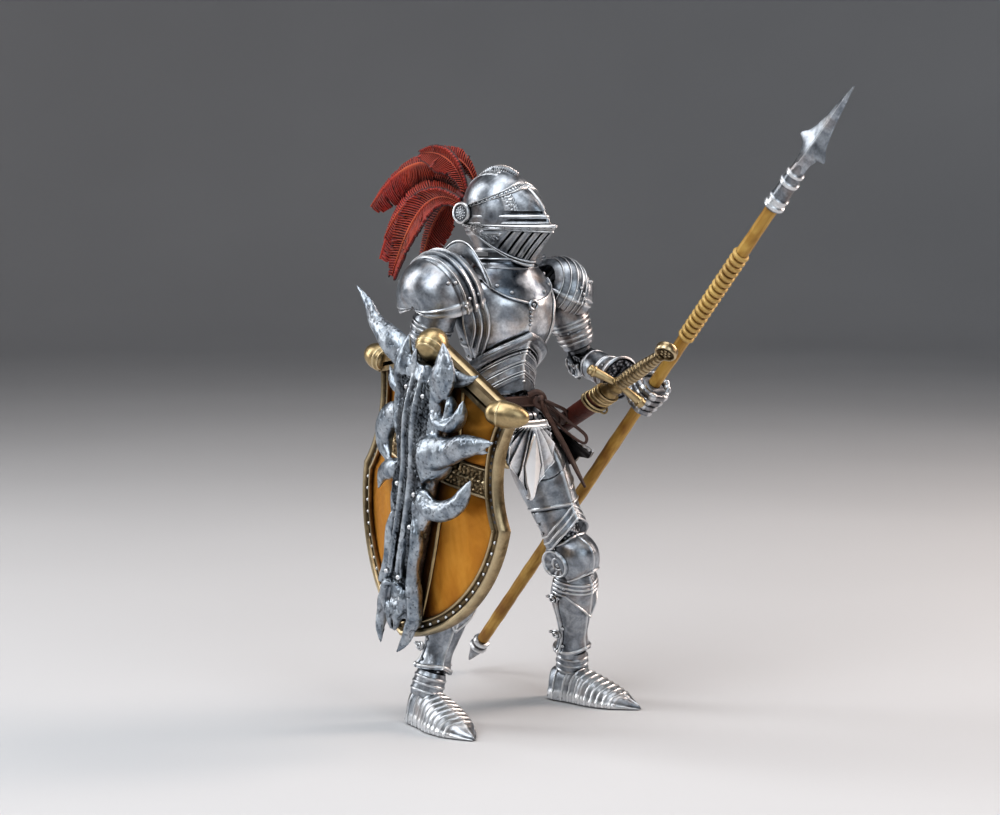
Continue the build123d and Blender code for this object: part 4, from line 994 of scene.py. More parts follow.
def backplate():
    p = Piece("backplate_shell", "torso", "silver", "silver_armour", ["backplate"])
    u, v = grid(200, 120, math.radians(88), math.radians(272))
    z = 104.6 + (134.4 - 104.6) * v
    middle = hill(u - np.pi, 0.05)
    relief = 0.45 * middle + 0.3 * bead(v, 0.02, 0.03) + 0.3 * bead(v, 0.98, 0.02)
    for at in (0.14, 0.27):
        relief += 0.35 * bead(v, at + 0.05 * np.cos((u - np.pi) * 2), 0.02)
    blade = np.abs(np.abs(u - np.pi) - 0.62)
    relief += 0.5 * hill(blade, 0.28) * hill(z - 124, 6.0)
    p.plate(torso_at(u, z, 0.1), 0.9, (0, 0, 118), relief)
    for side in (-1, 1):
        for z_at in (108, 113, 131):
            at = torso_at(np.array(np.pi + side * 1.35), np.array(float(z_at)), 0.2)
            p.stud(at, (at[0], at[1], 0), 0.55, 0.45)
        # hinge lugs for the shoulder plates
        x = side * 13.5
        p.lathe([(1.2, -1.3), (1.65, -1.1), (1.65, 1.1), (1.2, 1.3)],
                shifted(x, 1.4, 136.6) @ turned((1, 0, 0), 90), 24)
        p.tube(np.array([[x, 1.4, 135.6], [x, 1.4, 131.5]]), 1.0, 12)
    p.make()

    g = Piece("gorget_collar", "torso", "steel", "dark_steel", ["gorget"])
    u, v = grid(120, 40, 0, 2 * np.pi, open_u=True)
    a = curve([0, 0.35, 0.7, 1.0], [10.6, 9.3, 8.2, 8.5])(v)
    b = curve([0, 0.35, 0.7, 1.0], [9.8, 8.9, 8.2, 8.5])(v)
    z = curve([0, 0.5, 1.0], [133.2, 135.2, 137.4])(v)
    q = np.stack([a * np.sin(u), 0.2 - b * np.cos(u), z], -1)
    g.plate(q, 0.8, (0, 0, 135.2), 0.5 * bead(v, 0.94, 0.07) + 0.3 * bead(v, 0.08, 0.06), wrap=True)
    g.make()


# ---------------------------------------------------------------- limbs
SIDES = (("right", -1), ("left", 1))


def limb_frames(side):
    """Places of a side's limbs: Z up the limb, -Y to the outside of the bend."""
    at = {k: joint_at(f"{side}_{k}") for k in ("hip_swing", "knee_bend", "ankle_bend", "shoulder_swing",
                                               "elbow_bend",
                                               "wrist_bend")}
    knee, elbow = joint_axis(f"{side}_knee_bend"), joint_axis(f"{side}_elbow_bend")
    knee = knee * np.sign(knee[0])
    thigh_up, shin_up = at["hip_swing"] - at["knee_bend"], at["knee_bend"] - at["ankle_bend"]
    arm_up, fore_up = at["shoulder_swing"] - at["elbow_bend"], at["elbow_bend"] - at["wrist_bend"]
    return {
        "thigh": frame_at(at["hip_swing"], thigh_up, knee),
        "knee": frame_at(at["knee_bend"], thigh_up, knee),
        "shin": frame_at(at["knee_bend"], shin_up, knee),
        "ankle": frame_at(at["ankle_bend"], shin_up, knee),
        "arm": frame_at(at["shoulder_swing"], arm_up, elbow),
        "elbow": frame_at(at["elbow_bend"], arm_up, elbow),
        "fore": frame_at(at["elbow_bend"], fore_up, elbow),
        "wrist": frame_at(at["wrist_bend"], fore_up, elbow),
        "ankle_at": at["ankle_bend"], "wrist_at": at["wrist_bend"], "fore_up": unit(fore_up),
    }


FRAMES = {side: limb_frames(side) for side, _ in SIDES}


def sleeve(p, place, zs, radii, relief, nu=96, nv=110, oval=1.0, offset=None, low=None, thick=0.6):
    """Plate round a limb. Angle 0 is -Y. relief(angle, z); low(angle) is the height of the lower edge."""
    u, v = grid(nu, nv, 0.0, FULL_TURN, open_u=True)
    radius = curve(zs[::-1], radii[::-1])
    bottom = zs[-1] if low is None else low(u)
    z = zs[0] + (bottom - zs[0]) * v
    r = radius(z)
    lift = relief(u, z)
    shift = 0 if offset is None else offset(z)
    q = np.stack([r * np.sin(u), shift - r * oval * np.cos(u), z], -1)
    p.plate(on(place, q), thick, on(place, (0, 0, np.mean(zs))), lift, wrap=True, place=IN_PLACE)


def front(u, width):
    """1 at the limb's front line, falling off over width radians."""
    return hill(np.angle(np.exp(1j * u)), width)


def stud_on(p, place, angle, z, radius, size=0.5):
    at = (radius * math.sin(angle), -radius * math.cos(angle), z)
    p.stud(on(place, at), along(place, (math.sin(angle), -math.cos(angle), 0)), size, size * 0.8, IN_PLACE)


def chevron(u, height, spread=1.6):
    """Edge that rises in a V to the front line."""
    return height * np.clip(1 - np.abs(np.angle(np.exp(1j * u))) / spread, 0, 1)


def leg(side):
    f = FRAMES[side]
    c = Piece(f"{side}_cuisse", f"{side}_thigh", "silver", "silver_armour", place=IN_PLACE)

    def thigh_relief(u, z):
        bow = 3.2 * np.abs(np.sin(u / 2))
        r = 0.45 * front(u, 0.06) * (z < -8) + 0.42 * bead(z, -25.6 + bow, 0.42)
        r -= 0.40 * hill(z + 26.6 - bow, 0.2)
        sweep = 12.5 * np.clip((u - 0.1) / 2.2, 0, 1) ** 1.3
        r += 0.32 * bead(z, -21.5 + sweep, 0.34) * (u > 0.1) * (u < 3.0)
        r -= 0.34 * hill(z + 8.5 + 7.5 * np.cos(u + 0.5), 0.22) * (z > -22)
        return r + 0.35 * bead(z, -4.2, 0.6)
    sleeve(c, f["thigh"], [-3.4, -6.5, -11, -17, -24, -29.5, -31.5], [6.4, 8.2, 8.8, 8.4, 7.5, 6.9, 6.7],
           thigh_relief,
           160, 170, 1.0)
    for base, r in ((-32.2, 7.0), (-34.2, 7.15), (-36.2, 7.3)):
        u, v = grid(150, 26, -2.1, 2.1)
        top, low = base + 3.0 + chevron(u, 6.0), base - 0.35 + chevron(u, 6.0)
        z = top + (low - top) * v
        q = round_it(u, r, z)
        m = f["thigh"]
        relief = 0.40 * bead(z, base + chevron(u, 6.0), 0.45) + 0.4 * front(u, 0.07)
        c.plate(on(m, q), 0.6, on(m, (0, 0, base)), relief, place=IN_PLACE)
    for z in (-24.5, -28.0, -31.0):
        stud_on(c, f["thigh"], -1.9, z, 7.4, 0.5)
        stud_on(c, f["thigh"], 1.9, z, 7.4, 0.5)
    c.make()
    knee_cop(side, f)
    shin(side, f)
    a = Piece(f"{side}_ankle_lames", f"{side}_ankle_link", "silver", "silver_armour", place=IN_PLACE)
    sleeve(a, f["ankle"], [4.0, 2.6, 0.4, -2.2, -3.6], [4.1, 4.5, 4.7, 4.7, 4.4],
           lambda u, z: 0.28 * bead(z, 2.2, 0.4) + 0.28 * bead(z, 0.2, 0.4) + 0.28 * bead(z, -1.9, 0.4),
           90, 60, 1.05)
    a.make()
    sabaton(side)


def cap_skin(radius, half, u, lat):
    return np.stack([radius * np.sin(u) * np.cos(lat * 0.7), 0.3 - radius * np.cos(u) * np.cos(lat),
                     half * np.sin(lat)], -1)


def knee_cop(side, f):
    k = Piece(f"{side}_poleyn_cop", f"{side}_knee_link", "silver", "silver_armour", [f"{side}_poleyn"],
              place=f["knee"])
    u, v = grid(150, 90, -1.5, 1.5)
    lat = -0.86 + (1.72 + 0.16 * front(u, 0.7)) * v
    bulge = 7.6 + 0.9 * np.exp(-((u / 0.65) ** 2 + ((lat - 0.1) / 0.55) ** 2))
    relief = 0.42 * bead(v, 0.02, 0.035) + 0.42 * bead(v, 0.975, 0.035) + 0.30 * hill(u, 0.045)
    k.plate(cap_skin(bulge, 7.7, u, lat), 0.7, (0, 0, 0), relief)
    for s in (-1, 1):
        # dished fan at the side: low boss, broad ribbed wing with a raised rim
        a, r = grid(90, 34, 0, 2 * np.pi, open_u=True)
        reach = 3.6 + 2.0 * np.clip(np.cos(a - 0.9), 0, 1)
        rr = 0.25 + r * reach
        q = np.stack([s * (6.6 + 1.0 * r**2), 0.9 + rr * np.sin(a), rr * np.cos(a)], -1)
        relief = 0.45 * bead(r, 0.93, 0.09) + 0.35 * bead(r, 0.36, 0.08)
        relief += 0.12 * np.cos(a * 10) * (r > 0.45) * (r < 0.85)
        k.plate(q, 0.6, (0, 0, 0), relief, wrap=True)
        k.stud((s * 6.9, 0.9, 0.0), (s, 0, 0), 0.8, 0.7)
    k.make()


def shin(side, f):
    g = Piece(f"{side}_greave_plates", f"{side}_greave", "silver", "silver_armour", place=IN_PLACE)

    def shin_relief(u, z):
        seam = np.abs(np.abs(np.angle(np.exp(1j * u))) - 1.75)
        r = 0.5 * front(u, 0.06) + 0.42 * bead(z, -30.6 + 1.6 * front(u, 1.0), 0.5)
        return r + 0.34 * bead(seam, 0.0, 0.10) - 0.4 * hill(seam - 0.16, 0.03)
    sleeve(g, f["shin"], [-8.0, -12, -16, -21, -25.5, -28, -31.2], [6.3, 6.5, 6.0, 5.0, 4.4, 4.7, 5.9],
           shin_relief, 170,
           150, 1.04, lambda z: 0.8 * hill(z + 14, 5.0), low=lambda u: -31.4 + 1.6 * front(u, 1.0))
    # lames that slide under the cop, then a pointed plate
    m = f["shin"]
    u, v = grid(180, 130, -1.95, 1.95)
    low = -10.0 - 7.8 * np.clip(1 - np.abs(u) / 1.25, 0, 1) ** 1.1
    z = -4.2 + (low + 4.2) * v
    r = curve([-18, -12, -9, -7.5, -6, -4.0], [6.4, 6.9, 7.15, 7.1, 6.7, 5.9])(z)
    relief = 0.35 * front(u, 0.06)
    for edge in (-6.0, -7.3, -8.6):
        relief = relief + 0.36 * bead(z, edge - 0.8 * front(u, 0.9), 0.42)
    q = round_it(u, r, z)
    skin, _ = g.plate(on(m, q), 0.6, on(m, (0, 0, -10)), relief, place=IN_PLACE)
    g.tube(skin[:, -1], 0.42, 8, place=IN_PLACE, wear_and_shade=0.3)
    for s in (-1, 1):
        for z, a in ((-7.6, 1.3), (-8.4, 1.65), (-11.5, 1.6), (-22.5, 1.55), (-28.4, 1.5)):
            stud_on(g, m, s * a, z, curve([-30, -24, -16, -11], [5.3, 4.8, 6.6, 7.3])(z), 0.55)
        for z in (-12.4, -25.2):
            w = curve([-24, -13.6], [4.7, 6.5])(z)
            at = on(m, (s * w, 2.4, z))
            x, y = along(m, (0, 1, 0)), along(m, (0, 0, 1))
            for grow, back in ((1.0, 0.3), (0.6, 0.9)):
                loop = np.array([at + along(m, (s * back, 0, 0))
                                 + (x * 1.5 * math.cos(t) + y * 1.1 * math.sin(t)) * grow
                                 for t in turn_angles(18)])
                g.tube(loop, 0.36, 6, ring=True, place=IN_PLACE, wear_and_shade=0.3)
            g.stud(at + along(m, (s * 0.6, 1.8, 0.4)), along(m, (s, 1, 0)), 0.5, 0.9, IN_PLACE)
    g.make()


def sabaton(side):
    axis = joint_axis(f"{side}_ankle_bend")
    left = unit([axis[0], axis[1], 0]) * np.sign(axis[0])
    place = frame_at(FRAMES[side]["ankle_at"], (0, 0, 1), left)
    p = Piece(f"{side}_sabaton", f"{side}_foot", "silver", "silver_armour", [f"{side}_foot"], place=place)
    ys = [-25.4, -24.6, -22.5, -19.0, -14.0, -9.0, -4.0, 0.0, 3.0, 6.0, 7.1, 7.6]
    half = curve(ys, [0.15, 0.9, 2.3, 4.3, 5.7, 6.0, 5.2, 4.9, 4.8, 4.1, 2.9, 0.1])
    tall = curve(ys, [0.7, 1.3, 2.4, 4.2, 6.2, 8.0, 9.6, 10.2, 10.0, 9.6, 8.9, 7.8])
    u, v = grid(320, 60)
    y = 7.6 - 33.0 * u
    a = (v - 0.5) * math.pi
    ground = -11.94
    x = half(y) * np.sign(np.sin(a)) * np.abs(np.sin(a)) ** 0.72
    z = ground + tall(y) * (0.02 + np.clip(np.cos(a), 0, 1) ** 0.8)
    lames = [-1.5, -4.2, -6.6, -8.9, -11.1, -13.2, -15.3, -17.4, -19.4]
    bow = 2.0 * np.abs(np.sin(a)) ** 2
    relief = 0.0 * y
    for at in lames:
        ledge = (1 - step(y, at + bow, 0.1)) * step(y, at + bow - 1.9, 1.2)
        relief = relief + 0.36 * bead(y, at + bow, 0.42) + 0.14 * ledge
    relief += 0.3 * hill(a, 0.09) * (y < -3)
    relief += 0.4 * bead(v, 0.02, 0.05) + 0.4 * bead(v, 0.98, 0.05)
    relief += 0.3 * bead(y, 3.4 + bow * 0.3, 0.4)
    p.plate(np.stack([x, y, z], -1), 0.5, (0, -6, -12), relief)
    u2, v2 = grid(120, 20)
    y2 = 7.1 - 32.3 * u2
    sole = np.stack([(half(y2) + 0.15) * (2 * v2 - 1), y2, ground + 0.35 + 0 * u2], -1)
    p.plate(sole, 0.5, (0, -6, -11.0), 0.05)
    for s in (-1, 1):
        for yy in np.arange(-19.0, 6.5, 2.1):
            w = float(half(yy))
            p.stud((s * (w + 0.25), yy, ground + 1.1), (s, 0, 0.1), 0.4, 0.36)
    p.make()


def pauldron(side, sign):
    inside = np.array([sign * 22.6, 0, 126.6])
    p = Piece(f"{side}_pauldron_plates", f"{side}_pauldron", "silver", "silver_armour",
              [f"{side}_pauldron"])
    out = unit([sign * 0.94, 0, -0.34])
    up = unit(np.array([0, 0, 1.0]) - out * out[2])
    fwd = np.array([0, -1.0, 0])
    base = 12.6 if side == "right" else 9.6

    def shell(theta, phi, radius):
        d = (np.cos(theta)[..., None] * out + np.sin(theta)[..., None]
             * (np.cos(phi)[..., None] * up + np.sin(phi)[..., None] * fwd))
        return inside + d * radius[..., None] * np.array([1.0, 1.06, 1.0])
    bands = [(4, 84, 0.0), (82, 95, 0.35), (93, 106, 0.7), (104, 118, 1.0)]
    if side == "left":
        bands += [(116, 130, 1.2), (128, 143, 1.2)]
    for k, (t0, t1, lift) in enumerate(bands):
        first = k == 0
        th, ph = grid(110 if first else 40, 150, math.radians(t0), math.radians(t1), -math.radians(104),
                      math.radians(112 if side == "right" else 132))
        v = (th - math.radians(t0)) / math.radians(t1 - t0)
        w = (ph + math.radians(104)) / math.radians(216)
        radius = base + lift - 0.45 * v * (not first) + 0 * th
        if first:
            radius = radius + 0.5 * np.sin(np.pi * v) - 1.4 * hill(v, 0.2)
        relief = 0.42 * bead(v, 0.04 if not first else 0.985, 0.10 if not first else 0.02)
        relief += 0.35 * bead(w, 0.015, 0.02) + 0.35 * bead(w, 0.985, 0.02)
        if first:
            relief += 0.4 * bead(w, 0.93, 0.012) + 0.4 * bead(w, 0.07, 0.012)
            relief -= 0.25 * hill(v - 0.9, 0.02)
        p.plate(shell(th, ph, radius), 0.7, inside, relief)
    for deg_t, deg_p in ((70, 62), (78, 66), (66, -60), (96, 84), (104, 92), (88, 92), (80, 100)):
        d = shell(np.array(math.radians(deg_t)), np.array(math.radians(deg_p)), np.array(base + 0.7))
        p.stud(d, d - inside, 0.55, 0.5)
    # ears round the hinge lug
    x = sign * 13.5
    for s in (-1, 1):
        ear = shifted(x, 1.4, 136.6) @ turned((1, 0, 0), 90)
        p.lathe([(0.5, s * 1.9 - 0.55), (1.7, s * 1.9 - 0.45), (1.7, s * 1.9 + 0.45),
                 (0.5, s * 1.9 + 0.55)],
                ear, 20)
        p.tube(np.array([[x, 1.4 - s * 1.9, 136.6], [x + sign * 2.6, 1.4 - s * 1.9, 137.6]]), 0.6, 8)
    if side == "right":
        # upright guard that follows the inner edge from behind the neck down to the chest
        ridge = spline([(-18.4, 8.0, 135.0), (-16.4, 3.5, 138.0), (-15.0, -2.5, 137.4),
                        (-13.9, -7.5, 133.4),
                        (-13.2, -11.0, 128.6)], 90)
        rise = curve([0, 0.15, 0.4, 0.75, 1.0], [0.8, 3.4, 4.6, 2.6, 0.5])
        u, v = grid(90, 26)
        lean = np.array([-0.12, 0.05, 0.99])
        q = ridge[:, None, :] + (rise(u) * v)[..., None] * lean
        q[..., 0] += 0.9 * v**2
        p.plate(q, 0.75, q.mean((0, 1)) + np.array([20, 0, 0]), 0.35 * bead(v, 0.95, 0.10))
    else:
        # decorated outer plates
        for k in range(3):
            z0 = 128.5 - 5.2 * k
            u, v = grid(60, 24, -0.75, 0.75)
            r = 9.0 + 0.4 * k
            q = np.stack([sign * (22.6 + r * 0.86 * np.cos(u * 0.9)) - 1.6, -1.5 + r * 0.75 * np.sin(u),
                          z0 - 6.0 * v + 1.5
                          * np.cos(u * 2)], -1)
            p.plate(q, 0.6, (22, 0, 120), 0.4 * bead(v, 0.9, 0.1) + 0.25 * bead(v, 0.12, 0.08)
                    + 0.22 * np.abs(wobble(q, 2.4, 1.0)) * (np.abs(v - 0.5) < 0.3))
    p.make()


def arm(side, sign):
    f = FRAMES[side]
    c = Piece(f"{side}_rerebrace", f"{side}_upper_arm", "silver", "silver_armour", place=IN_PLACE)

    def relief(_, z):
        r = 0.25 * bead(z, -4.0, 0.5) - 0.25 * hill(z + 13.6, 0.2)
        for at in (-10.6, -12.0, -15.4, -17.0):
            r = r + 0.34 * bead(z, at, 0.42)
        return r
    sleeve(c, f["arm"], [-3.6, -6, -10, -14, -17, -19.0], [4.8, 5.9, 6.2, 5.8, 5.2, 4.9], relief, 110, 120)
    for a in np.linspace(-2.4, 2.4, 9):
        stud_on(c, f["arm"], a, -13.2, 5.95, 0.38)
    c.make()

    k = Piece(f"{side}_couter_cop", f"{side}_elbow_link", "silver", "silver_armour", [f"{side}_couter"],
              place=f["elbow"])
    u, v = grid(110, 70, -1.35, 1.35)
    lat = (v - 0.5) * 1.8
    bulge = 6.4 + 0.7 * np.exp(-((u / 0.5) ** 2 + (lat / 0.5) ** 2))
    q = np.stack([0.68 * bulge * np.sin(u) * np.cos(lat * 0.7), -bulge * np.cos(u) * np.cos(lat),
                  6.8 * np.sin(lat)], -1)
    k.plate(q, 0.7, (0, 0, 0), 0.4 * bead(v, 0.02, 0.045) + 0.4 * bead(v, 0.98, 0.045)
            + 0.4 * hill(u, 0.05))
    for s in (-1, 1):
        a, r = grid(70, 26, -0.85 * math.pi, 0.55 * math.pi)
        rr = 0.3 + r * (3.3 + 0.6 * np.cos(a))
        q = np.stack([s * (3.9 + 0.4 * r**2.2), -0.4 + rr * np.cos(a - math.pi / 2),
                      rr * np.sin(a - math.pi / 2)], -1)
        k.plate(q, 0.55, (0, 0, 0), 0.45 * bead(r, 0.94, 0.09) + 0.14 * np.cos(a * 8) * (r > 0.3)
                + 0.3 * bead(r, 0.25, 0.07))
        k.stud((s * 4.2, -0.4, 0), (s, 0, 0), 0.75, 0.6)
    k.make()

    # The right vambrace is silver armour like the left, but takes the darker steel look: painted shade.
    g = Piece(f"{side}_vambrace", f"{side}_forearm", "silver" if side == "left" else "steel",
              "silver_armour",
              place=IN_PLACE)

    def cuff(u, z):
        r = (0.4 * bead(z, -18.9, 0.5) + 0.3 * bead(z, -17.6, 0.35) + 0.4 * bead(z, -12.2, 0.45)
             + 0.3 * bead(z, -13.4, 0.3))
        return r + 0.3 * bead(z, -5.6, 0.4) + 0.45 * front(u, 0.07) * (z > -12)
    sleeve(g, f["fore"], [-4.6, -8, -11.6, -12.6, -15, -17.5, -19.4], [4.5, 4.8, 4.5, 4.9, 5.3, 6.0, 6.9],
           cuff, 110, 130)
    for a in np.linspace(-2.6, 2.6, 10):
        stud_on(g, f["fore"], a, -15.4, 5.4, 0.38)
    g.make()
    gauntlet(side, sign)


def gauntlet(side, sign):
    """Closed fist: lamed fingers curled round what it holds, a thumb across them, plates over the back."""
    f = FRAMES[side]
    held = joint_axis("spear_slide") if side == "left" else joint_axis("handle_turn")
    fist = f["wrist_at"] - f["fore_up"] * FIST_BELOW_WRIST
    place = frame_at(fist, held, (1, 0, 0))
    back = unit(place[:3, :3].T @ f["fore_up"])            # towards the wrist, in the fist's frame
    base = math.atan2(back[1], back[0])
    p = Piece(f"{side}_gauntlet", f"{side}_hand", "silver", "silver_armour", place=place)
    turn = sign * 1.0
    for k in range(4):
        z = 3.3 - 2.2 * k
        a = np.linspace(base - turn * 0.7, base + turn * (3.55 - 0.12 * k), 66)
        square = 4.35 / np.maximum(np.abs(np.cos(a)) ** 0.35, 0.86) * (1.02 - 0.02 * k)
        path = np.stack([square * np.cos(a), square * np.sin(a), np.full_like(a, z)], -1)
        t = np.linspace(0, 1, 66)
        radius = 1.12 * (1 + 0.16 * (np.sin(t * 34) > 0.1) - 0.25 * step(t, 0.96, 0.08))
        # The wear value of -0.1 between the finger lames gives painted shade there.
        p.tube(path, radius, 12, (0, 0, 1), wear_and_shade=0.35 * (np.sin(t * 34) > 0.1) - 0.1)
        knuckle = base + turn * 0.95
        p.stud((5.2 * math.cos(knuckle), 5.2 * math.sin(knuckle), z),
               (math.cos(knuckle), math.sin(knuckle), 0), 0.95, 0.9)
    a = np.linspace(base - turn * 0.5, base - turn * 2.3, 40)
    thumb = np.stack([4.6 * np.cos(a), 4.6 * np.sin(a), 2.4 + 1.6 * np.sin(np.linspace(0, np.pi, 40))], -1)
    p.tube(thumb, 1.25 * (1 + 0.12 * np.sin(np.linspace(0, 26, 40))), 12, (0, 0, 1), wear_and_shade=0.1)
    p.make()
    b = Piece(f"{side}_hand_plates", f"{side}_hand", "silver", "silver_armour", place=IN_PLACE)
    w = f["wrist"]
    for n, z in enumerate((-3.4, -5.0, -6.6)):
        sleeve(b, w, [z, z - 2.0], [3.7 + 0.25 * n, 4.0 + 0.25 * n],
               lambda _, zz, z=z: 0.3 * bead(zz, z - 1.7, 0.35), 70, 14, 0.98, thick=0.45)
    b.make()


# ---------------------------------------------------------------- hips
def hip_at(angle, z, out=0.0):
    a = curve([66, 73.5, 82.5, 88.5, 91.0, 94.0], [20.0, 19.0, 16.6, 13.0, 10.8, 10.4])(z)
    b = curve([66, 73.5, 82.5, 88.5, 91.0, 94.0], [15.6, 15.0, 12.2, 10.0, 9.1, 9.0])(z)
    return np.stack([(a + out) * np.sin(angle), -(b + out) * np.cos(angle), z], -1)


def skirt_hem(w):
    """Height of the rear skirt's jagged lower edge, at a share w of its way round."""
    return 73.6 + 3.5 * (1 - step(w, 0.1, 0.2)) + 1.6 * np.abs(np.mod(w * 9.0, 1.0) - 0.5) * 2


def fauld():
    p = Piece("fauld_lames", "pelvis", "silver", "silver_armour", ["fauld"])
    inside = (0, 0, 86)
    for k, (top, bottom) in enumerate(((92.6, 89.4), (90.2, 87.2), (88.0, 84.6), (85.4, 82.2))):
        u, v = grid(220, 22, 0, 2 * np.pi, open_u=True)
        fold = np.cos(u)
        z = top + (bottom - top) * v - 1.6 * (fold > 0) * fold**2 * (1 - 0.2 * k) + 0.6
        z = np.maximum(z, 81.4)
        relief = 0.36 * bead(v, 0.93, 0.1) + 0.26 * bead(v, 0.66, 0.08)
        relief += 0.4 * (front(u, 0.05) + front(u - np.pi, 0.05))
        p.plate(hip_at(u, z, 0.25 + 0.35 * v), 0.6, inside, relief, wrap=True)
    for angle in np.linspace(-2.6, 2.6, 15):
        at = hip_at(np.array(angle), np.array(86.2), 0.9)
        p.stud(at, (at[0], at[1], 0), 0.42, 0.4)
    # hinge post of the front plate
    p.lathe([(1.2, -1.0), (1.65, -0.9), (1.65, 0.9), (1.2, 1.0)], shifted(0, -12.2, 90.0)
            @ turned((0, 1, 0), 90), 20)
    p.tube(np.array([[0, -12.2, 89.4], [0, -12.0, 86.6], [0, -10.0, 86.2]]), 0.9, 10)
    p.make()

    s = Piece("rear_skirt_panel", "pelvis", "black_iron", "dark_steel", ["rear_skirt"])
    u, v = grid(220, 90, math.radians(52), math.radians(196))
    w = (u - math.radians(52)) / math.radians(144)
    low = skirt_hem(w)
    z = 90.6 + (low - 90.6) * v
    folds = 0.45 * np.sin(u * 16 + 0.8 * np.sin(z * 0.4))
    flare = 9.0 * v**1.2 * hill(w, 0.16)
    s.plate(hip_at(u, z, 1.2 + 0.6 * v + flare), 0.7, (0, 0, 84), folds * v
            + 0.25 * wobble(hip_at(u, z), 2.0))
    s.make()
    trim = Piece("rear_skirt_trim", "pelvis", "silver", "silver_armour")
    a = np.linspace(math.radians(52), math.radians(196), 300)
    w = (a - a[0]) / (a[-1] - a[0])
    low = skirt_hem(w)
    flare = 9.0 * hill(w, 0.16)
    trim.tube(hip_at(a, low, 1.9 + flare + 0.45 * np.sin(a * 16 + 0.8 * np.sin(low * 0.4))), 0.42, 8,
              wear_and_shade=0.2)
    along_edge = np.linspace(0, 1, 60)
    front_edge = hip_at(np.full(60, a[0]), 90.0 + (float(low[0]) - 90.0) * along_edge,
                        1.6 + 9.0 * along_edge**1.2)
    trim.tube(front_edge, 0.5 + 0.08 * np.sin(np.linspace(0, 60, 60)), 8, wear_and_shade=0.2)
    for k in range(7):
        at = hip_at(np.array(a[0] + 0.09), np.array(88.0 - 1.9 * k), 1.9)
        trim.stud(at, (at[0], at[1], 0), 0.4, 0.4)
    trim.make()


def tasset():
    """Front plate: flutes fan out from the hinge to a scalloped, pointed hem."""
    hinge = joint_at("tasset_swing")
    place = frame_at(hinge, (0, 0, 1), (1, 0, 0)) @ turned((1, 0, 0), 2.0)
    # The front tasset takes the lighter copy of the silver: painted highlight.
    p = Piece("tasset_fan", "front_tasset", "bright_silver_painted_highlight", "silver_armour", ["front_tasset"], place=place)
    drop = 24.2
    s, t = grid(180, 120, -1, 1)
    half = curve([0, 0.10, 0.30, 0.50, 0.64, 0.76, 0.88, 1.0], [5.4, 6.2, 7.9, 8.5, 6.9, 4.1, 2.0, 0.15])
    half_at = half(t) + 0.45 * np.abs(np.sin(t * 14)) * (t < 0.62) * (t > 0.1)
    x = half_at * s
    z = -0.6 - drop * t * (1 - 0.05 * np.abs(s))
    # leaves that spring from the middle of the top and bend outwards, over a long central kite
    turn_out = np.abs(x) / (1.1 + 0.62 * np.clip(-z - 2.4, 0, 30) ** 0.86)
    kite = np.abs(x) - np.interp(-z, [4.0, 7.0, 14.0, 19.0, 24.4], [0.0, 1.2, 3.3, 2.4, 0.0])
    leaf = np.mod(turn_out * 1.3 + 0.15, 1.0)
    relief = (0.75 * leaf**1.6 - 0.25) * (kite > 0) * step(t, 0.10, 0.06)
    relief += np.where(kite < 0, 0.25 + 1.1 * np.clip(1 - np.abs(x) / 3.4, 0, 1), 0) * step(t, 0.16, 0.06)
    relief -= 0.45 * hill(kite, 0.22) * step(t, 0.18, 0.04)
    dish = -2.2 - 0.9 * (1 - s**2) * np.sin(np.pi * np.clip(t, 0, 1)) ** 0.5
    relief += 0.4 * bead(t, 0.045, 0.04) + 0.3 * bead(np.abs(s), 0.97, 0.05) + 0.35 * bead(t, 0.10, 0.03)
    p.plate(np.stack([x, dish, z], -1), 0.8, (0, 10, -10), relief)
    for side in (-1, 1):
        p.lathe([(0.6, side * 1.85 - 0.55), (1.7, side * 1.85 - 0.45), (1.7, side * 1.85 + 0.45),
                 (0.6, side * 1.85 + 0.55)],
                turned((0, 1, 0), 90), 20)
        p.tube(np.array([[side * 1.85, 0, 0], [side * 1.85, -2.4, -0.8]]), 0.6, 8)
    p.make()
    band = Piece("tasset_lames", "pelvis", "silver", "silver_armour")
    for k in range(2):
        u, v = grid(80, 20, -0.75, 0.75)
        z = 90.4 - 2.6 * k - 2.6 * v - 1.8 * (1 - np.abs(u) / 0.75)
        q = hip_at(u, z, 0.7 + 0.3 * v)
        band.plate(q, 0.5, (0, 0, 86), 0.35 * bead(v, 0.9, 0.12) + 0.25 * bead(v, 0.5, 0.08))
    band.make()


def ribbon(p, path, width, thick, face):
    """Flat strap along a path, its broad side towards face."""
    path = np.asarray(path, float)
    t = np.gradient(path, axis=0)
    t /= np.linalg.norm(t, axis=1, keepdims=True)
    width = np.broadcast_to(np.asarray(width, float), (len(path),))
    face = np.broadcast_to(np.asarray(face, float), path.shape)
    side = np.cross(t, face)
    side /= np.linalg.norm(side, axis=1, keepdims=True)
    w = np.linspace(-1, 1, 15)
    q = path[:, None, :] + side[:, None, :] * (w[None, :] * width[:, None] / 2)[..., None]
    lift = 0.10 * (np.abs(np.abs(w) - 0.78) < 0.1) * -1.0 + 0.10 * np.sqrt(1 - w**2)
    p.plate(q, thick, path.mean(0) - face.mean(0) * 30, np.broadcast_to(lift, q.shape[:2]))


def waist_mail():
    p = Piece("waist_mail", "torso", "mail", "dark_steel")
    u, v = grid(120, 30, 0, 2 * np.pi, open_u=True)
    z = 92.6 + 9.0 * v
    a = 9.6 + 0.25 * np.sin(v * 26)
    p.plate(np.stack([a * np.sin(u), -(a - 1.8) * np.cos(u), z], -1), 0.6, (0, 0, 97), 0, wrap=True)
    p.make()


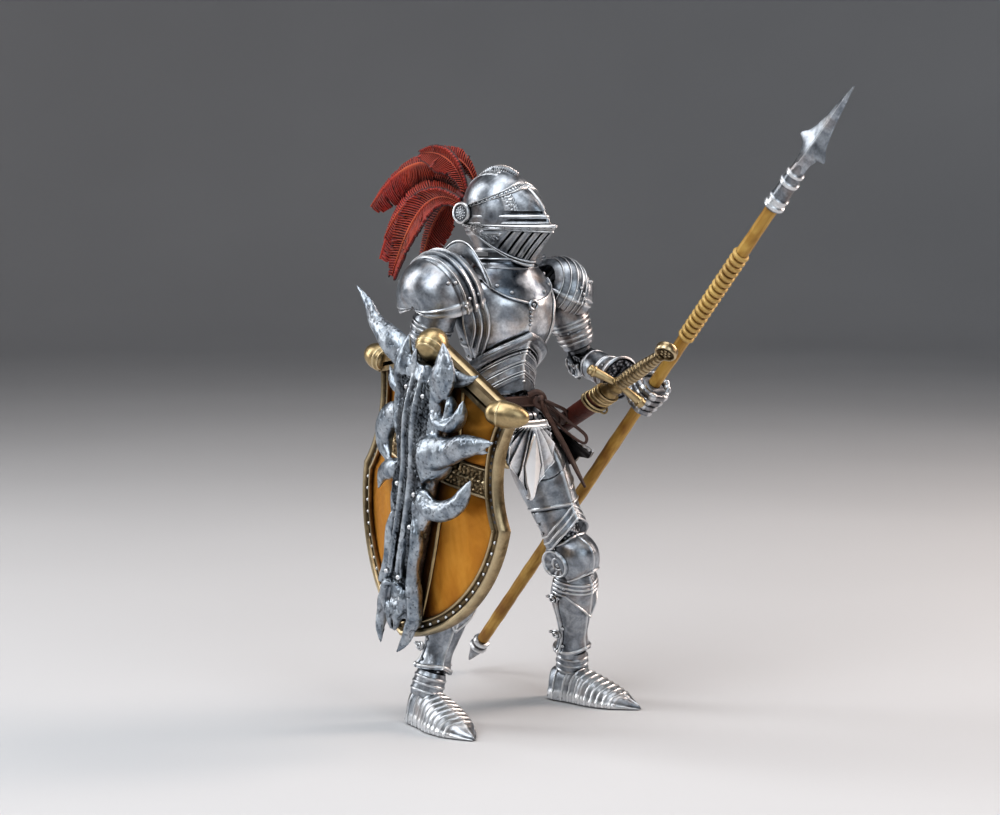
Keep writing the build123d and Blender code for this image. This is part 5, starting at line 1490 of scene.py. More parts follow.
def belt():
    p = Piece("belt_band", "pelvis", "brown_leather", "brown_leather", ["belt"])
    u, v = grid(220, 26, 0, 2 * np.pi, open_u=True)
    z = 91.6 + 3.4 * v + 1.2 * np.cos(u)
    a, b = 11.9, 10.2
    q = np.stack([a * np.sin(u), -b * np.cos(u), z], -1)
    p.plate(q, 0.9, (0, 0, 93), 0.16 * bead(v, 0.12, 0.06) + 0.16 * bead(v, 0.88, 0.06)
            + 0.05 * wobble(q, 1.4), wrap=True)
    knot = np.array([4.6, -11.0, 95.6])
    loop = spline([(1.6, -10.9, 96.4), (3.2, -12.4, 97.3), (5.4, -12.6, 96.4), (6.4, -12.4, 94.4),
                   (4.8, -12.6, 93.0),
                   (3.2, -12.2, 94.4), (3.8, -12.9, 96.0)], 70)
    p.tube(loop, 1.0, 14, squash=0.62)
    p.stud(knot + np.array([0, -1.5, 0]), (0, -1, 0), 1.3, 1.0)
    strap = spline([(4.6, -12.9, 96.2), (6.2, -13.6, 91.5), (8.8, -15.2, 86.0), (12.2, -16.6, 79.5),
                    (15.6, -17.4, 73.0),
                    (18.4, -17.6, 68.2)], 120)
    widths = curve([0, 0.2, 0.75, 1.0], [1.9, 2.3, 1.7, 0.6])(np.linspace(0, 1, 120))
    ribbon(p, strap, widths, 0.6, (0.35, -0.93, 0.1))
    for k in range(4):
        p.stud(strap[12 + 7 * k] + np.array([0.1, -0.4, 0]), (0.35, -0.93, 0.1), 0.25, 0.2)
    # thongs that carry the scabbard
    frog = joint_at("scabbard_swing") - ORIGIN
    for k, (y, dz) in enumerate(((-1.0, 1.0), (1.4, -1.2))):
        thong = spline([(5.5, -11.8, 95.2), (8.0, -13.8 + y, 92.6 + dz),
                        (frog[0] - 3.2, frog[1] - 1.0 + y, frog[2] + 1.2 + dz),
                        (frog[0] - 3.6, frog[1] + y * 1.2, frog[2] - 1.4)], 60)
        p.tube(thong, 0.55, 10, squash=0.7)
    drop = spline([(6.6, -12.2, 94.6), (12.0, -15.8, 89.0), (17.2, -18.6, 84.2), (17.4, -17.6, 81.6),
                   (12.6, -15.0, 85.2),
                   (8.4, -12.6, 90.0)], 90)
    p.tube(drop, 0.5, 10, squash=0.7)
    # arm that holds the scabbard's pivot
    p.tube(spline([(8.2, -8.8, 93.0), (9.2, -10.4, 91.2), (frog[0] - 5.6, frog[1], frog[2])], 30), 1.5, 16)
    p.lathe([(1.5, -0.4), (1.9, -0.2), (1.9, 1.8), (1.5, 2.0)],
            shifted(frog[0] - 5.2, frog[1], frog[2]) @ turned((0, 1, 0), 90), 24)
    p.make()


# ---------------------------------------------------------------- sword
def sword():
    axis = joint_axis("sword_draw")
    frog = joint_at("scabbard_swing")
    throat = frog + axis * 23.5
    place = frame_at(throat, axis, (0.75, -0.33, -0.56))
    s = Piece("scabbard_leather", "scabbard", "red_leather", "brown_leather", ["scabbard"], place=place)
    t = np.linspace(0, 1, 90)
    path = upright(-68.6 + 64.6 * t)
    taper = curve([0, 0.06, 0.3, 1.0], [1.0, 2.5, 2.9, 3.3])(t)
    s.tube(path, taper, 28, (1, 0, 0), 0.56)
    s.make()
    m = Piece("scabbard_mounts", "scabbard", "brass", "bronze_trim", ["scabbard_throat"], place=place)
    for z0, z1, r in ((-5.6, 0.0, 3.55), (-69.0, -60.0, 2.75)):
        zz = np.linspace(z0, z1, 46)
        q = (zz - z0) / (z1 - z0)
        swell = r * (1 + 0.10 * bead(q, 0.06, 0.07) + 0.11 * bead(q, 0.93, 0.08)
                     + 0.10 * bead(q, 0.40, 0.07)
                     + 0.09 * bead(q, 0.62, 0.05))
        if z0 < -60:
            swell = swell * curve([0, 0.12, 0.5, 1.0], [0.35, 0.8, 0.97, 1.0])(q)
        m.tube(upright(zz), swell, 30, (1, 0, 0), 0.62,
               wear_and_shade=0.3 * (bead(q, 0.93, 0.08) + bead(q, 0.4, 0.07)))
    tip = shifted(0, 0, -69.6)
    m.lathe([(0.4, -0.9), (1.0, -0.4), (0.9, 0.6), (0.5, 0.9)], tip, 16)
    pivot = Piece("scabbard_pivot", "scabbard", "brass", "bronze_trim")
    at = frog - ORIGIN
    pivot.lathe([(0.9, -5.0), (1.0, -4.8), (1.0, -2.0), (1.6, -1.8), (1.6, -1.2)],
                shifted(*at) @ turned((0, 1, 0), 90), 20)
    pivot.make()
    for z in (-7.6, -9.4):
        ringed = np.array([(3.75 * math.cos(a), 2.25 * math.sin(a), z) for a in turn_angles(40)])
        m.tube(ringed, 0.42, 8, ring=True, wear_and_shade=0.2)
    m.tube(np.array([(3.6 + 1.3 * math.sin(a), 1.3 * math.cos(a) - 0.4, -8.5) for a in
                     turn_angles(20)]), 0.33, 8, ring=True)
    m.make()

    g = Piece("sword_hilt_guard", "sword", "brass", "bronze_trim", ["sword_guard"], place=place)
    t = np.linspace(-1, 1, 90)
    bar = np.stack([9.5 * t, 0 * t, 6.4 - 2.2 * t**2 + 0.6 * np.abs(t) ** 3], -1)
    thick = 1.15 + 0.35 * np.abs(t) ** 3 - 0.25 * hill(t, 0.35) + 0.35 * bead(np.abs(t), 0.86, 0.05)
    g.tube(bar, thick, 16, (0, 0, 1), 1.1, wear_and_shade=0.15)
    g.lathe([(2.9, 0.2), (3.1, 0.8), (2.9, 1.5), (2.4, 2.2), (2.3, 3.6), (2.7, 4.2), (2.6, 5.4),
             (2.1, 6.0), (2.2, 7.4), (2.5, 7.8), (2.2, 8.2)], None, 32,
            shape=lambda a, z: np.sqrt(1 / (np.cos(a) ** 2 + (np.sin(a) / 0.72) ** 2)))
    for end in (-1, 1):
        g.stud((end * 9.4, 0, 4.8), (end, 0, -0.25), 1.45, 0.8)
    g.make()
    r = Piece("sword_hilt_grip", "sword", "bronze", "bronze_trim", ["sword_grip"], place=place)
    zz = np.linspace(8.0, 31.0, 220)
    q = (zz - zz[0]) / (zz[-1] - zz[0])
    turns = np.abs(np.sin(q * math.pi * 13))
    ringed = curve([0, 0.35, 1.0], [2.0, 2.25, 1.55])(q) * (0.84 + 0.24 * turns ** 0.6)
    # The wear value below 0 in the hollows of the wrap gives painted shade there.
    r.tube(upright(zz), ringed, 26, (1, 0, 0), 0.92, wear_and_shade=0.5 * turns - 0.22)
    r.make()
    k = Piece("sword_hilt_pommel", "sword", "bronze", "bronze_trim", ["sword_pommel"], place=place)
    disc = shifted(0, 0, 34.3) @ turned((1, 0, 0), 90)
    for flip in (0, 180):
        half = disc @ turned((1, 0, 0), flip)
        # Negative wear values on the pommel's inner steps give painted shade there.
        k.lathe([(3.25, 0.0), (3.3, 0.7), (3.1, 1.15), (2.7, 1.2), (2.45, 0.85), (2.3, 0.75), (0.5, 0.8),
                 (0.05, 0.85)],
                half, 40, wear_and_shade=[0, 0.2, 0.4, 0.4, -0.2, -0.4, -0.1, 0])
        for n in range(6):
            a = 2 * math.pi * n / 6
            at = half @ np.array([1.25 * math.cos(a), 1.25 * math.sin(a), 0.8, 1])
            k.stud(at[:3], half[:3, 2], 0.5, 0.4)
        k.stud(on(half, (0, 0, 0.8)), half[:3, 2], 0.45, 0.45)
    k.lathe([(1.5, 30.8), (1.75, 31.1), (1.75, 31.7), (1.3, 32.0)], None, 24)
    k.make()


# ---------------------------------------------------------------- spear
SPEAR_TOP, BUTT_HEIGHT = 184.9, 3.2          # heights of its two points above the floor
SPEAR_HEAD_LENGTH, BLADE_LENGTH = 44.0, 30.0
BINDING_TURNS, BINDING_PITCH = 17, 2.05


def spear():
    axis = joint_axis("spear_slide")
    fist = FRAMES["left"]["wrist_at"] - FRAMES["left"]["fore_up"] * FIST_BELOW_WRIST
    butt = fist - axis * (fist[2] - BUTT_HEIGHT) / axis[2]
    place = frame_at(butt, axis, (1, 0, 0))
    length = (SPEAR_TOP - BUTT_HEIGHT) / axis[2]
    grip = float((fist - butt) @ axis)
    shaft_top = length - SPEAR_HEAD_LENGTH
    p = Piece("spear_pole", "spear", "ochre", "ochre_shaft", ["spear_shaft"], place=place)
    zz = np.linspace(9.5, shaft_top + 2, 500)
    radius = np.full_like(zz, 1.86) + 0.05 * np.sin(zz * 0.31) + 0.03 * np.sin(zz * 0.83 + 1)
    p.tube(upright(zz), radius, 22, (1, 0, 0), shape=lambda a, t: 1 + 0.035 * np.cos(a * 8))
    p.make()
    b = Piece("spear_binding", "spear", "ochre", "ochre_shaft", place=place)
    for i in range(BINDING_TURNS):
        z = grip + 24.6 + i * BINDING_PITCH
        a = turn_angles(28)
        b.tube(np.stack([1.92 * np.cos(a), 1.92 * np.sin(a), z + 0.25 * np.sin(a)], -1), 0.72, 10,
               ring=True, wear_and_shade=0.25)
    b.make()
    h = Piece("spear_blade", "spear", "silver", "silver_armour", ["spear_head"], place=place)
    # blade: concave edges from barbed shoulders to a point, a ridge down the middle
    s, t = grid(44, 170, -1, 1)
    half = curve([0, 0.10, 0.20, 0.285, 0.36, 0.58, 0.85, 1.0], [2.5, 2.7, 3.8, 6.2, 4.2, 2.3, 1.0, 0.05])
    z = length - BLADE_LENGTH + 29.8 * t
    barb = -1.6 * np.clip(np.abs(s) - 0.55, 0, 1) * hill(t - 0.28, 0.05)
    for face in (-1, 1):
        deep = face * (0.95 * (1 - np.abs(s)) ** 0.8 * curve([0, 0.12, 0.3, 0.9, 1],
                                                             [2.2, 1.7, 1.1, 0.6, 0.1])(t) + 0.05)
        q = np.stack([deep, half(t) * s, z + barb], -1)
        h.plate(q, 0.04, (0, 0, length - BLADE_LENGTH / 2), 0.12 * bead(np.abs(s), 0.0, 0.07))
    socket = [(2.3, -0.6), (3.1, 0.0), (3.2, 0.5), (3.1, 1.2), (2.7, 1.5), (2.65, 2.6), (3.0, 2.9),
              (3.05, 3.6), (2.6, 4.0),
              (2.5, 8.2), (2.9, 8.6), (2.95, 9.6), (2.5, 10.0), (2.3, 11.6), (2.7, 12.0), (2.7, 12.8),
              (2.2, 13.2),
              (1.8, 15.6), (0.9, 17.6)]
    # The wear value of -0.2 in the socket's hollows gives painted shade there.
    ridged = [0.35 if r > 2.62 and z > 0 else -0.2 for r, z in socket]
    h.lathe([(r, shaft_top + z) for r, z in socket], None, 32, wear_and_shade=ridged)
    h.make()
    f = Piece("spear_ferrule", "spear", "silver", "silver_armour", ["spear_butt"], place=place)
    # Negative wear values in the ferrule's hollows give painted shade there.
    f.lathe([(0.12, 0.0), (0.7, 1.2), (1.7, 4.6), (2.3, 6.8), (2.9, 7.1), (3.0, 7.7), (2.7, 8.2),
             (2.35, 8.4), (2.35, 9.2),
             (2.8, 9.5), (2.9, 10.2), (2.6, 10.8), (2.0, 11.0)], None, 36,
            wear_and_shade=[0, 0, 0, -0.2, 0.3, 0.4, 0.2, -0.4, -0.3, 0.3, 0.4, 0.2, 0])
    f.make()


# ---------------------------------------------------------------- shield
SHIELD_UP = joint_axis("handle_turn")
SHIELD = frame_at(ORIGIN + np.array([-41.5, -16.5, 74.0]), SHIELD_UP, (0, 1, 0))
SHIELD_INVERSE = np.linalg.inv(SHIELD)
KEEL = math.tan(math.radians(8.0))           # how fast each half falls back from the keel line
# distance from the keel and height of the outline's corners
PEAK, CORNER, CUSP, POINT = (0, 42.0), (33.0, 29.0), (34.5, -4.0), (0, -47.0)


def arc(a, b, c, count):
    """Points on the circle through a, b and c, from a to c."""
    a, b, c = (np.asarray(p, float) for p in (a, b, c))
    m = np.array([b - a, c - a]) * 2
    centre = np.linalg.solve(m, [b @ b - a @ a, c @ c - a @ a])
    t = [math.atan2(*(p - centre)[::-1]) for p in (a, b, c)]
    t = np.unwrap(t)
    if not (t[0] < t[1] < t[2] or t[0] > t[1] > t[2]):
        t[2] += -2 * np.pi * np.sign(t[2] - t[0])
    ang = np.linspace(t[0], t[2], count)
    r = np.linalg.norm(a - centre)
    return centre + r * np.stack([np.cos(ang), np.sin(ang)], -1)


def rim_line():
    """Front half of the outline, from the peak round to the point: (distance from the keel, height)."""
    gable = np.linspace(PEAK, CORNER, 24)
    shoulder = arc(CORNER, (29.0, 12.0), CUSP, 50)
    flank = arc(CUSP, (25.5, -30.0), POINT, 70)
    return np.vstack([gable[:-1], shoulder[:-1], flank])


RIM = rim_line()
EDGE_AT = curve(RIM[::-1, 1], RIM[::-1, 0])


def rim_offset(inset):
    """The rim line moved inwards, mitred at its corners."""
    d = np.diff(RIM, axis=0)
    d /= np.linalg.norm(d, axis=1, keepdims=True)
    n = np.stack([d[:, 1], -d[:, 0]], -1)
    a = np.vstack([n[:1], n])
    b = np.vstack([n, n[-1:]])
    a[0], b[-1] = a[0] * (-1, 1), b[-1] * (-1, 1)
    m = a + b
    m /= np.linalg.norm(m, axis=1, keepdims=True)
    reach = 1 / np.clip((m * b).sum(1), 0.35, 1)
    return RIM + m * (reach * inset)[:, None]


def rim():
    p = Piece("shield_edge_moulding", "shield", "bronze", "bronze_trim", ["shield_rim"], place=SHIELD)
    #                    inset, height above the board, wear (below 0 it is painted shade in the channels
    #                    and underneath)
    section = [(0.9, -1.5, 0), (0.05, -1.2, 0), (-0.1, 0.1, 0), (0.05, 1.0, 0.1), (0.55, 1.75, 0.25),
               (1.15, 1.9, 0.35),
               (1.7, 1.65, 0.2), (2.0, 1.15, -0.35), (2.3, 0.95, -0.45), (3.0, 0.95, -0.1),
               (3.6, 1.0, -0.35),
               (3.8, 1.5, 0.1), (4.1, 1.75, 0.4), (4.5, 1.55, 0.2), (4.75, 0.7, -0.3), (4.8, 0.0, -0.5),
               (4.0, -1.4, 0)]
    for sign in (-1, 1):
        rings, wear_and_shade = [], []
        for inset, height, wear_shade_value in section:
            line = rim_offset(inset)
            x = np.maximum(line[:, 0], 0.0)
            rings.append(np.stack([sign * x, height - x * KEEL, line[:, 1]], -1))
            wear_and_shade.append(np.full(len(line), wear_shade_value))
        q, w = np.array(rings), np.array(wear_and_shade)
        if sign > 0:
            q, w = q[:, ::-1], w[:, ::-1]
        idx = p.skin(p.points(q, w), len(section), q.shape[1], True)
        p.close(idx)
        # square bars along the gable
        a, b = np.array([1.5, 1.9, 39.6]), np.array([30.0, 1.9 - 30 * KEEL, 28.4])
        a[0], b[0] = sign * a[0], sign * b[0]
        for low, size, wear_shade_value in ((0.0, 1.75, 0.15), (-3.2, 1.0, 0.1)):
            t = np.linspace(0, 1, 14)[:, None]
            bar = a + (b - a) * t + np.array([0, 0.2, low])
            across = unit(np.cross(b - a, (0, 1, 0)))
            p.tube(bar, size, 4, unit(across + np.array([0, 1.0, 0])), wear_and_shade=wear_shade_value)
    p.sharp = 30
    p.make()

    k = Piece("shield_knobs", "shield", "brass", "bronze_trim", place=SHIELD)

    def egg(at, axis, length, radius, collar):
        t = np.linspace(0, math.pi, 30)
        axis = unit(axis)
        path = np.asarray(at) + axis * (-np.cos(t) * length / 2)[:, None]
        girth = radius * np.sin(t) ** 0.85 * (1 + 0.12 * np.cos(t))
        k.tube(path, np.maximum(girth, 0.05), 30, wear_and_shade=0.1)
        for back, size in collar:
            ring = np.asarray(at) + axis * back
            u = unit(np.cross(axis, (0.1, 0.2, 1.0)))
            v = np.cross(axis, u)
            a = turn_angles(40)[:, None]
            k.tube(ring + (u * np.cos(a) + v * np.sin(a)) * size, 0.55, 10, ring=True, wear_and_shade=0.3)
    egg((0.4, 2.6, 41.0), (0.35, -0.7, 0.6), 9.4, 4.6, ((-1.8, 4.0), (-3.2, 3.2)))
    egg((-31.4, -1.6, 29.0), (-0.75, -0.62, 0.0), 12.5, 3.7, ((-2.4, 3.2),))
    egg((31.4, -1.6, 29.0), (0.9, 0.1, 0.1), 9.0, 3.9, ((-1.8, 3.4), (-3.0, 2.8)))
    k.make()

    # The rivets take the lighter silver: partly their bright metal, partly painted highlight.
    r = Piece("shield_edge_rivets", "shield", "bright_silver_painted_highlight", "bronze_trim", place=SHIELD)
    line = rim_offset(2.75)
    run = np.concatenate([[0], np.cumsum(np.linalg.norm(np.diff(line, axis=0), axis=1))])
    cusp = run[int(np.argmin(np.linalg.norm(RIM - CUSP, axis=1)))]
    for sign in (-1, 1):
        for s in np.linspace(cusp + 3.5, run[-1] - 5.0, 14):
            x, z = np.interp(s, run, line[:, 0]), np.interp(s, run, line[:, 1])
            r.stud((sign * x, 1.0 - x * KEEL, z), (sign * KEEL, 1, 0), 0.55, 0.5)
    r.make()
    # Near-flat black discs along the rim: painted shade standing for pits.
    h = Piece("shield_edge_pit_shade", "shield", "black_iron", "bronze_trim", place=SHIELD)
    line = rim_offset(2.9)
    for sign in (-1, 1):
        for s in np.linspace(cusp - 32.0, cusp - 3.0, 15):
            x, z = np.interp(s, run, line[:, 0]), np.interp(s, run, line[:, 1])
            h.stud((sign * x, 0.95 - x * KEEL, z), (sign * KEEL, 1, 0), 0.5, 0.14)
    h.make()


def panels():
    a = Piece("shield_panels", "shield", "amber", "amber_panel", place=SHIELD)
    for sign in (-1, 1):
        s, t = grid(60, 150)
        for top, bottom in ((38.0, 11.0), (3.5, -43.0)):
            z = top + (bottom - top) * t
            edge = np.maximum(EDGE_AT(z) - 4.4, 0.3)
            x = s * edge
            y = 0.25 - x * KEEL + 0.55 * np.sin(math.pi * s) ** 0.7
            a.plate(np.stack([sign * x, y, z], -1), 0.6, (0, -20, 0),
                    0.05 * wobble(np.stack([x, y, z], -1), 2.0))
    a.make()
    b = Piece("shield_crossband", "shield", "bronze", "bronze_trim", place=SHIELD)
    for sign in (-1, 1):
        s, t = grid(70, 36)
        z = 11.6 - 8.6 * t - 0.6 * np.sin(s * 3)
        x = s * (EDGE_AT(z) - 3.9)
        y = 0.9 - x * KEEL
        q = np.stack([sign * x, y, z], -1)
        relief = 0.5 * bead(t, 0.05, 0.06) + 0.5 * bead(t, 0.95, 0.06)
        relief += 0.4 * wobble(q, 1.1) * (np.abs(t - 0.5) < 0.38)
        relief += 0.35 * bead(t, 0.5, 0.05)
        b.plate(q, 1.0, (0, -20, 7), relief)
    b.make()
    # pale strips that frame the amber beside the skull
    g = Piece("shield_inner_frame", "shield", "brass", "bronze_trim", place=SHIELD)
    for sign in (-1, 1):
        for pts in ([(9.5, -6), (9.0, -20), (8.2, -30), (7.0, -40.5)],
                    [(11.5, 33.6), (12.5, 26), (13.0, 12.5)]):
            line = spline([(sign * x, 1.0 - x * KEEL, z) for x, z in pts], 40)
            g.tube(line, 0.55, 8, wear_and_shade=0.1)
    g.make()


def skull():
    """Horned beast skull: a long ridged face, horns, leaf-like ears, cheek spikes, snout and two tusks."""
    p = Piece("shield_beast", "shield", "pewter", "dark_steel", ["shield_emblem"], place=SHIELD)

    def sunk(y):
        return np.where(y > 5.0, 5.0 + 0.62 * (y - 5.0), y)

    def limb(points, radii, squash=0.8, side=(0, 1, 0), count=60, segs=20):
        path = spline(points, count)
        path[:, 1] = sunk(path[:, 1])
        t = np.linspace(0, 1, count)
        r = curve(np.linspace(0, 1, len(radii)), radii)(t)
        p.tube(path, r, segs, side, squash)

    # long face: one low broad bar with a raised spine on each side of the groove
    limb([(0, 1.6, 35), (0, 2.6, 22), (0, 2.2, 4), (0, 2.0, -14), (0, 1.9, -30), (0, 1.8, -40)],
         [8.4, 10.4, 8.6, 7.4, 6.2, 5.4], 0.60, (1, 0, 0), 80, 36)
    for s in (-1, 1):
        limb([(s * 3.4, 6.6, 36), (s * 2.3, 7.6, 24), (s * 1.9, 7.5, 8), (s * 1.75, 7.3, -10),
              (s * 1.9, 7.5, -22),
              (s * 2.8, 7.0, -27.5)], [1.0, 0.95, 0.8, 0.75, 0.85, 1.3], 1.0)
        # brow ridge sweeping from the rail out round the eye panel
        limb([(s * 2.2, 7.2, 30), (s * 6.6, 6.4, 29), (s * 9.4, 5.0, 24), (s * 9.2, 4.8, 17),
              (s * 6.2, 6.0, 13.0),
              (s * 2.4, 6.9, 14.5)], [1.0, 1.5, 1.7, 1.6, 1.3, 0.9], 0.9)
        limb([(s * 2.2, 7.0, 7), (s * 4.8, 6.6, 3), (s * 5.2, 6.2, -4), (s * 3.0, 6.9, -9)],
             [0.8, 1.3, 1.3, 0.7], 0.9)
        limb([(s * 5.5, 3.0, 1), (s * 7.0, 3.0, -6), (s * 6.0, 3.5, -12), (s * 4.2, 5.6, -16)],
             [1.4, 2.4, 1.9, 0.9], 0.9)
        # knotted jaw along the flank of the snout
        for k in range(7):
            z = -6 - 4.2 * k
            limb([(s * (6.4 - 0.3 * k), 1.2, z + 2.0), (s * (7.0 - 0.3 * k), 2.6, z),
                  (s * (5.4 - 0.2 * k), 4.0, z - 1.8)],
                 [0.5, 1.25, 0.5], 0.9, count=16, segs=12)
        # tusk with its ringed socket
        limb([(s * 6.4, 2.4, -33.0), (s * 7.4, 2.8, -38.0), (s * 7.0, 3.0, -41.2)], [2.0, 2.5, 2.2], 0.9)
        limb([(s * 7.0, 3.2, -40.5), (s * 6.4, 4.2, -45.5), (s * 3.8, 5.2, -50.5)], [2.1, 1.5, 0.15], 0.9)
        # nostril and lip
        limb([(s * 1.2, 6.6, -30), (s * 3.8, 6.6, -31.5), (s * 4.8, 5.6, -35), (s * 3.0, 5.8, -38.4),
              (s * 0.8, 5.4, -40.5)],
             [0.9, 1.4, 1.5, 1.2, 1.0], 0.9)
        limb([(s * 0.8, 4.8, -36.0), (s * 1.8, 4.6, -41.0), (s * 0.6, 4.4, -44.5)], [1.2, 1.4, 0.5], 0.9)
    # smooth cheek of the snout on the front side
    limb([(-4.6, 5.6, -8), (-6.8, 4.8, -16), (-6.4, 4.6, -24), (-7.6, 4.0, -32), (-8.8, 3.6, -38.5)],
         [0.7, 2.2, 2.0, 2.6, 2.2], 0.9)
    limb([(4.6, 5.4, -8), (6.4, 4.4, -16), (6.0, 4.4, -24), (7.2, 3.8, -32)], [0.7, 2.0, 1.8, 2.4], 0.9)

    # rear horn: broad root at the gable, swept up and back to a point
    limb([(3.0, 2.6, 29.0), (9.5, 3.2, 34.0), (17.0, 4.6, 37.6), (25.0, 5.4, 41.5), (29.0, 6.4, 46.0),
          (35.4, 6.8, 49.6)],
         [4.4, 4.6, 4.4, 2.9, 1.7, 0.25], 0.74, (0, 0, 1), 90, 24)
    # front horn: lies along the gable and rises into the space in front of the chest
    limb([(-3.0, 2.6, 30.0), (-8.8, 2.6, 33.5), (-15.5, 1.6, 34.6), (-19.5, 0.6, 37.0)],
         [3.6, 3.4, 2.0, 0.3], 0.74, (0, 0, 1))
    # forked plate left of the groove
    limb([(5.0, 5.2, 24), (7.4, 6.6, 31), (7.0, 7.6, 37), (6.0, 8.2, 42.5)], [2.6, 4.2, 3.0, 0.3], 0.62,
         (1, 0, 0))
    limb([(5.2, 6.4, 29), (3.2, 7.6, 34.5), (1.2, 8.6, 39.5)], [2.6, 1.9, 0.3], 0.62, (1, 0, 0))
    limb([(9.5, 4.0, 30), (12.5, 4.6, 36), (14.5, 5.2, 41)], [2.6, 2.0, 0.3], 0.62, (1, 0, 0))
    # leaf-shaped ear on the front side, its tip up, with a folded lower barb
    limb([(-4.6, 6.4, 25), (-8.0, 6.8, 29), (-11.0, 7.0, 35.0), (-10.6, 7.4, 40.5), (-9.6, 7.9, 44.4)],
         [1.8, 3.6, 5.0, 3.4, 0.3], 0.42, (1, 0, -0.2), 70, 24)
    limb([(-9.6, 8.2, 42.5), (-10.2, 8.3, 36), (-8.4, 8.1, 30), (-7.0, 7.6, 24)], [0.4, 0.9, 0.8, 0.5], 0.9)
    limb([(-8.0, 5.2, 23), (-12.0, 5.6, 21.5), (-16.5, 5.2, 22.0), (-18.8, 4.6, 25.5), (-18.6, 4.2, 30.0)],
         [2.4, 3.1, 3.2, 2.5, 0.3], 0.62, (0, 1, 0))
    limb([(-12.6, 4.8, 30.5), (-14.6, 4.8, 26.5), (-14.0, 6.4, 22.0)], [0.5, 2.2, 1.2], 0.6)
    # cheek spike with its broad base, long beak and notch
    limb([(-2.8, 6.0, 9.0), (-6.0, 6.6, 10.8), (-11.0, 6.6, 12.6), (-17.0, 6.0, 14.6), (-22.0, 5.4, 17.4),
          (-27.5, 4.6, 19.6), (-33.6, 3.6, 22.0)], [3.0, 5.2, 4.7, 3.9, 3.4, 2.2, 0.25], 0.74, (0, 0, 1),
          110, 26)
    limb([(-3.6, 6.2, 16.4), (-5.6, 7.2, 12.5), (-8.6, 6.4, 6.6), (-6.8, 6.0, 2.4)], [0.5, 2.4, 3.0, 0.8],
         0.8)
    limb([(-26.0, 4.2, 17.6), (-29.0, 3.6, 17.8), (-31.6, 3.0, 18.6)], [1.3, 0.9, 0.2], 0.8)
    for x, z, y in ((-19.0, 15.6, 5.8), (-21.0, 16.8, 5.6)):
        t = turn_angles(24)
        ring = np.stack([x - 1.2 * np.sin(t), y + 2.8 * np.cos(t), z + 3.6 * np.sin(t)], -1)
        p.tube(ring, 0.55, 8, ring=True)
    # low hooked horn
    limb([(-4.5, 5.2, 0.5), (-8.0, 5.8, -2.4), (-13.5, 6.4, -3.6), (-19.5, 6.0, -1.8), (-24.0, 5.0, 2.2),
          (-26.6, 4.2, 9.2)],
         [1.8, 3.2, 3.1, 2.9, 2.4, 0.3], 0.8, (0, 0, 1), 90, 24)
    limb([(-4.6, 6.2, -1.0), (-10.0, 7.6, 0.4), (-14.5, 7.6, -0.8)], [0.6, 1.1, 0.3], 0.9)
    limb([(-5.4, 6.0, 4.2), (-10.5, 3.4, 6.6), (-15.0, 2.4, 9.4)], [0.8, 3.8, 0.6], 0.7)
    # plates on the rear side
    limb([(7.6, 3.6, 19.0), (12.5, 3.6, 17.5), (17.5, 2.6, 13.0), (18.0, 2.2, 7.0), (13.0, 3.4, 3.0)],
         [2.2, 3.6, 4.0, 3.2, 1.0], 0.66, (0, 0, 1))
    limb([(6.0, 4.0, 4.0), (12.0, 3.4, 0.6), (17.0, 2.0, -2.6), (19.0, 1.6, -7.8)], [1.6, 3.0, 2.4, 0.3],
         0.7, (0, 0, 1))
    limb([(9.0, 3.4, 25.0), (15.0, 3.0, 25.5), (20.0, 2.2, 29.5)], [2.2, 2.2, 0.3], 0.7, (0, 0, 1))

    def rough(points, normals):
        q = on(SHIELD_INVERSE, points)
        x, y, z = q.T
        grain = wobble(q, 0.9) * 0.5 + wobble(q, 2.6, 5) * 0.5
        lift = 0.10 * grain
        face = (np.abs(x) < np.where(z < -4, 4.6, 7.4)) & (y > 3.0) & (z < 31) & (z > -30)
        rail = hill(np.abs(x) - 1.9, 0.75) * (z > -26)
        pebbled = face * (1 - rail) * (np.abs(normals @ SHIELD[:3, 1]) > 0.55)
        # Sunken pebbling and cracks give a negative lift, which the material turns into painted shade.
        lift += pebbled * (0.28 * wobble(q, 0.75, 9) - 0.42)
        lift += 0.20 * rail * (y > 4.9)
        cracks = np.abs(wobble(q, 3.2, 21))
        return lift - 0.30 * hill(cracks, 0.035)

    def press(points):
        """Keep the back of the skull inside the thickness of the board."""
        q = on(SHIELD_INVERSE, points)
        q[:, 1] = np.maximum(q[:, 1], -0.7 - np.abs(q[:, 0]) * KEEL)
        return on(SHIELD, q)
    p.make(0.42, rough, press)

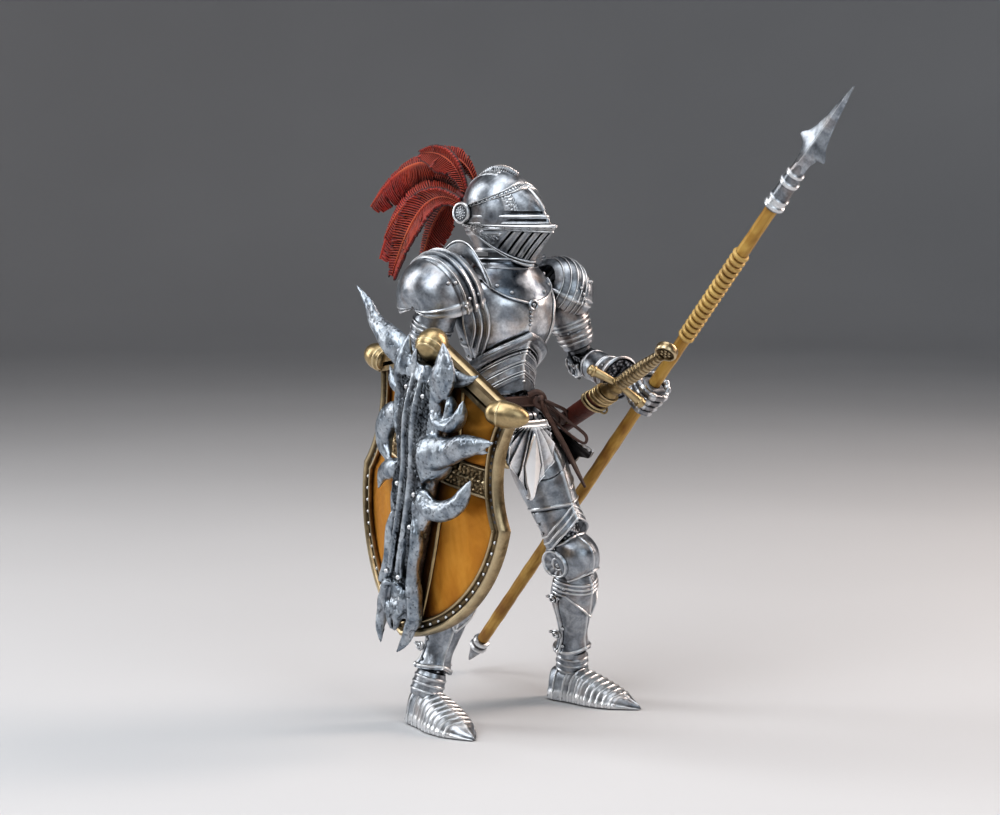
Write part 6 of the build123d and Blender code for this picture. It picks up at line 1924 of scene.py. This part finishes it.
    # Black sheet along the groove down the face: painted shade in the groove.
    g = Piece("shield_beast_groove_shade", "shield", "black_iron", "dark_steel", place=SHIELD)
    u, v = grid(34, 260, -1, 1)
    z = 35.0 - 61.0 * v
    half = curve([-26, -20, 0, 24, 35], [0.7, 1.25, 1.25, 1.45, 2.0])(z)
    q = np.stack([u * half, 6.3 + 0 * u, z], -1)
    q[..., 1] += curve([-26, 0, 24, 35], [-0.1, -0.1, 0.25, -0.6])(z)
    g.plate(q, 1.4, (0, -20, 0), 0.22 * wobble(q, 0.45) - 0.05)
    g.make()
    # The studs take the lighter silver: partly their bright metal, partly painted highlight.
    d = Piece("shield_beast_studs", "shield", "bright_silver_painted_highlight", "dark_steel", place=SHIELD)
    for x, y, z in ((-3.9, 8.0, 27.0), (4.4, 7.8, 27.6), (-4.2, 7.6, 9.6), (5.2, 7.0, 12.4),
                    (-4.7, 7.1, -1.8),
                    (-4.4, 6.9, -11.6), (3.8, 7.0, -1.0), (2.9, 8.1, -27.2), (-2.9, 8.1, -27.2),
                    (-5.0, 6.4, 31.5),
                    (-23.0, 6.8, 18.4), (5.5, 6.4, -33.0), (-4.4, 7.2, -33.2)):
        d.stud((x, float(sunk(y)), z), (0, 1, 0), 0.85, 0.8)
    d.make()


def grip():
    p = Piece("shield_arm_grip", "shield_handle", "brown_leather", "brown_leather", place=SHIELD)
    fist = FRAMES["right"]["wrist_at"] - FRAMES["right"]["fore_up"] * FIST_BELOW_WRIST
    at = on(SHIELD_INVERSE, fist)
    z = np.linspace(-4.4, 4.4, 80)
    p.tube(np.stack([0 * z + at[0], 0 * z + at[1], z + at[2]], -1), 2.2 + 0.12 * np.sin(z * 7), 20,
           (1, 0, 0))
    p.make()


helmet()
visor()
plume()
breastplate()
backplate()
for side, sign in SIDES:
    leg(side)
    pauldron(side, sign)
    arm(side, sign)
fauld()
tasset()
waist_mail()
belt()
sword()
spear()
rim()
panels()
skull()
grip()


# ---------------------------------------------------------------- what stays of the CAD
KEPT = {"torso_core": "mail", "pelvis_core": "mail", "shield_board": "bronze", "shield_handle": "bronze"}
KEPT.update({f"{side}_{part}": "mail" for side, _ in SIDES
             for part in ("upper_arm", "forearm", "thigh", "greave")})
for node, obj in frame["nodes"].items():
    if not obj.hide_render:
        dress(node, KEPT.get(node, "joint_grey"))
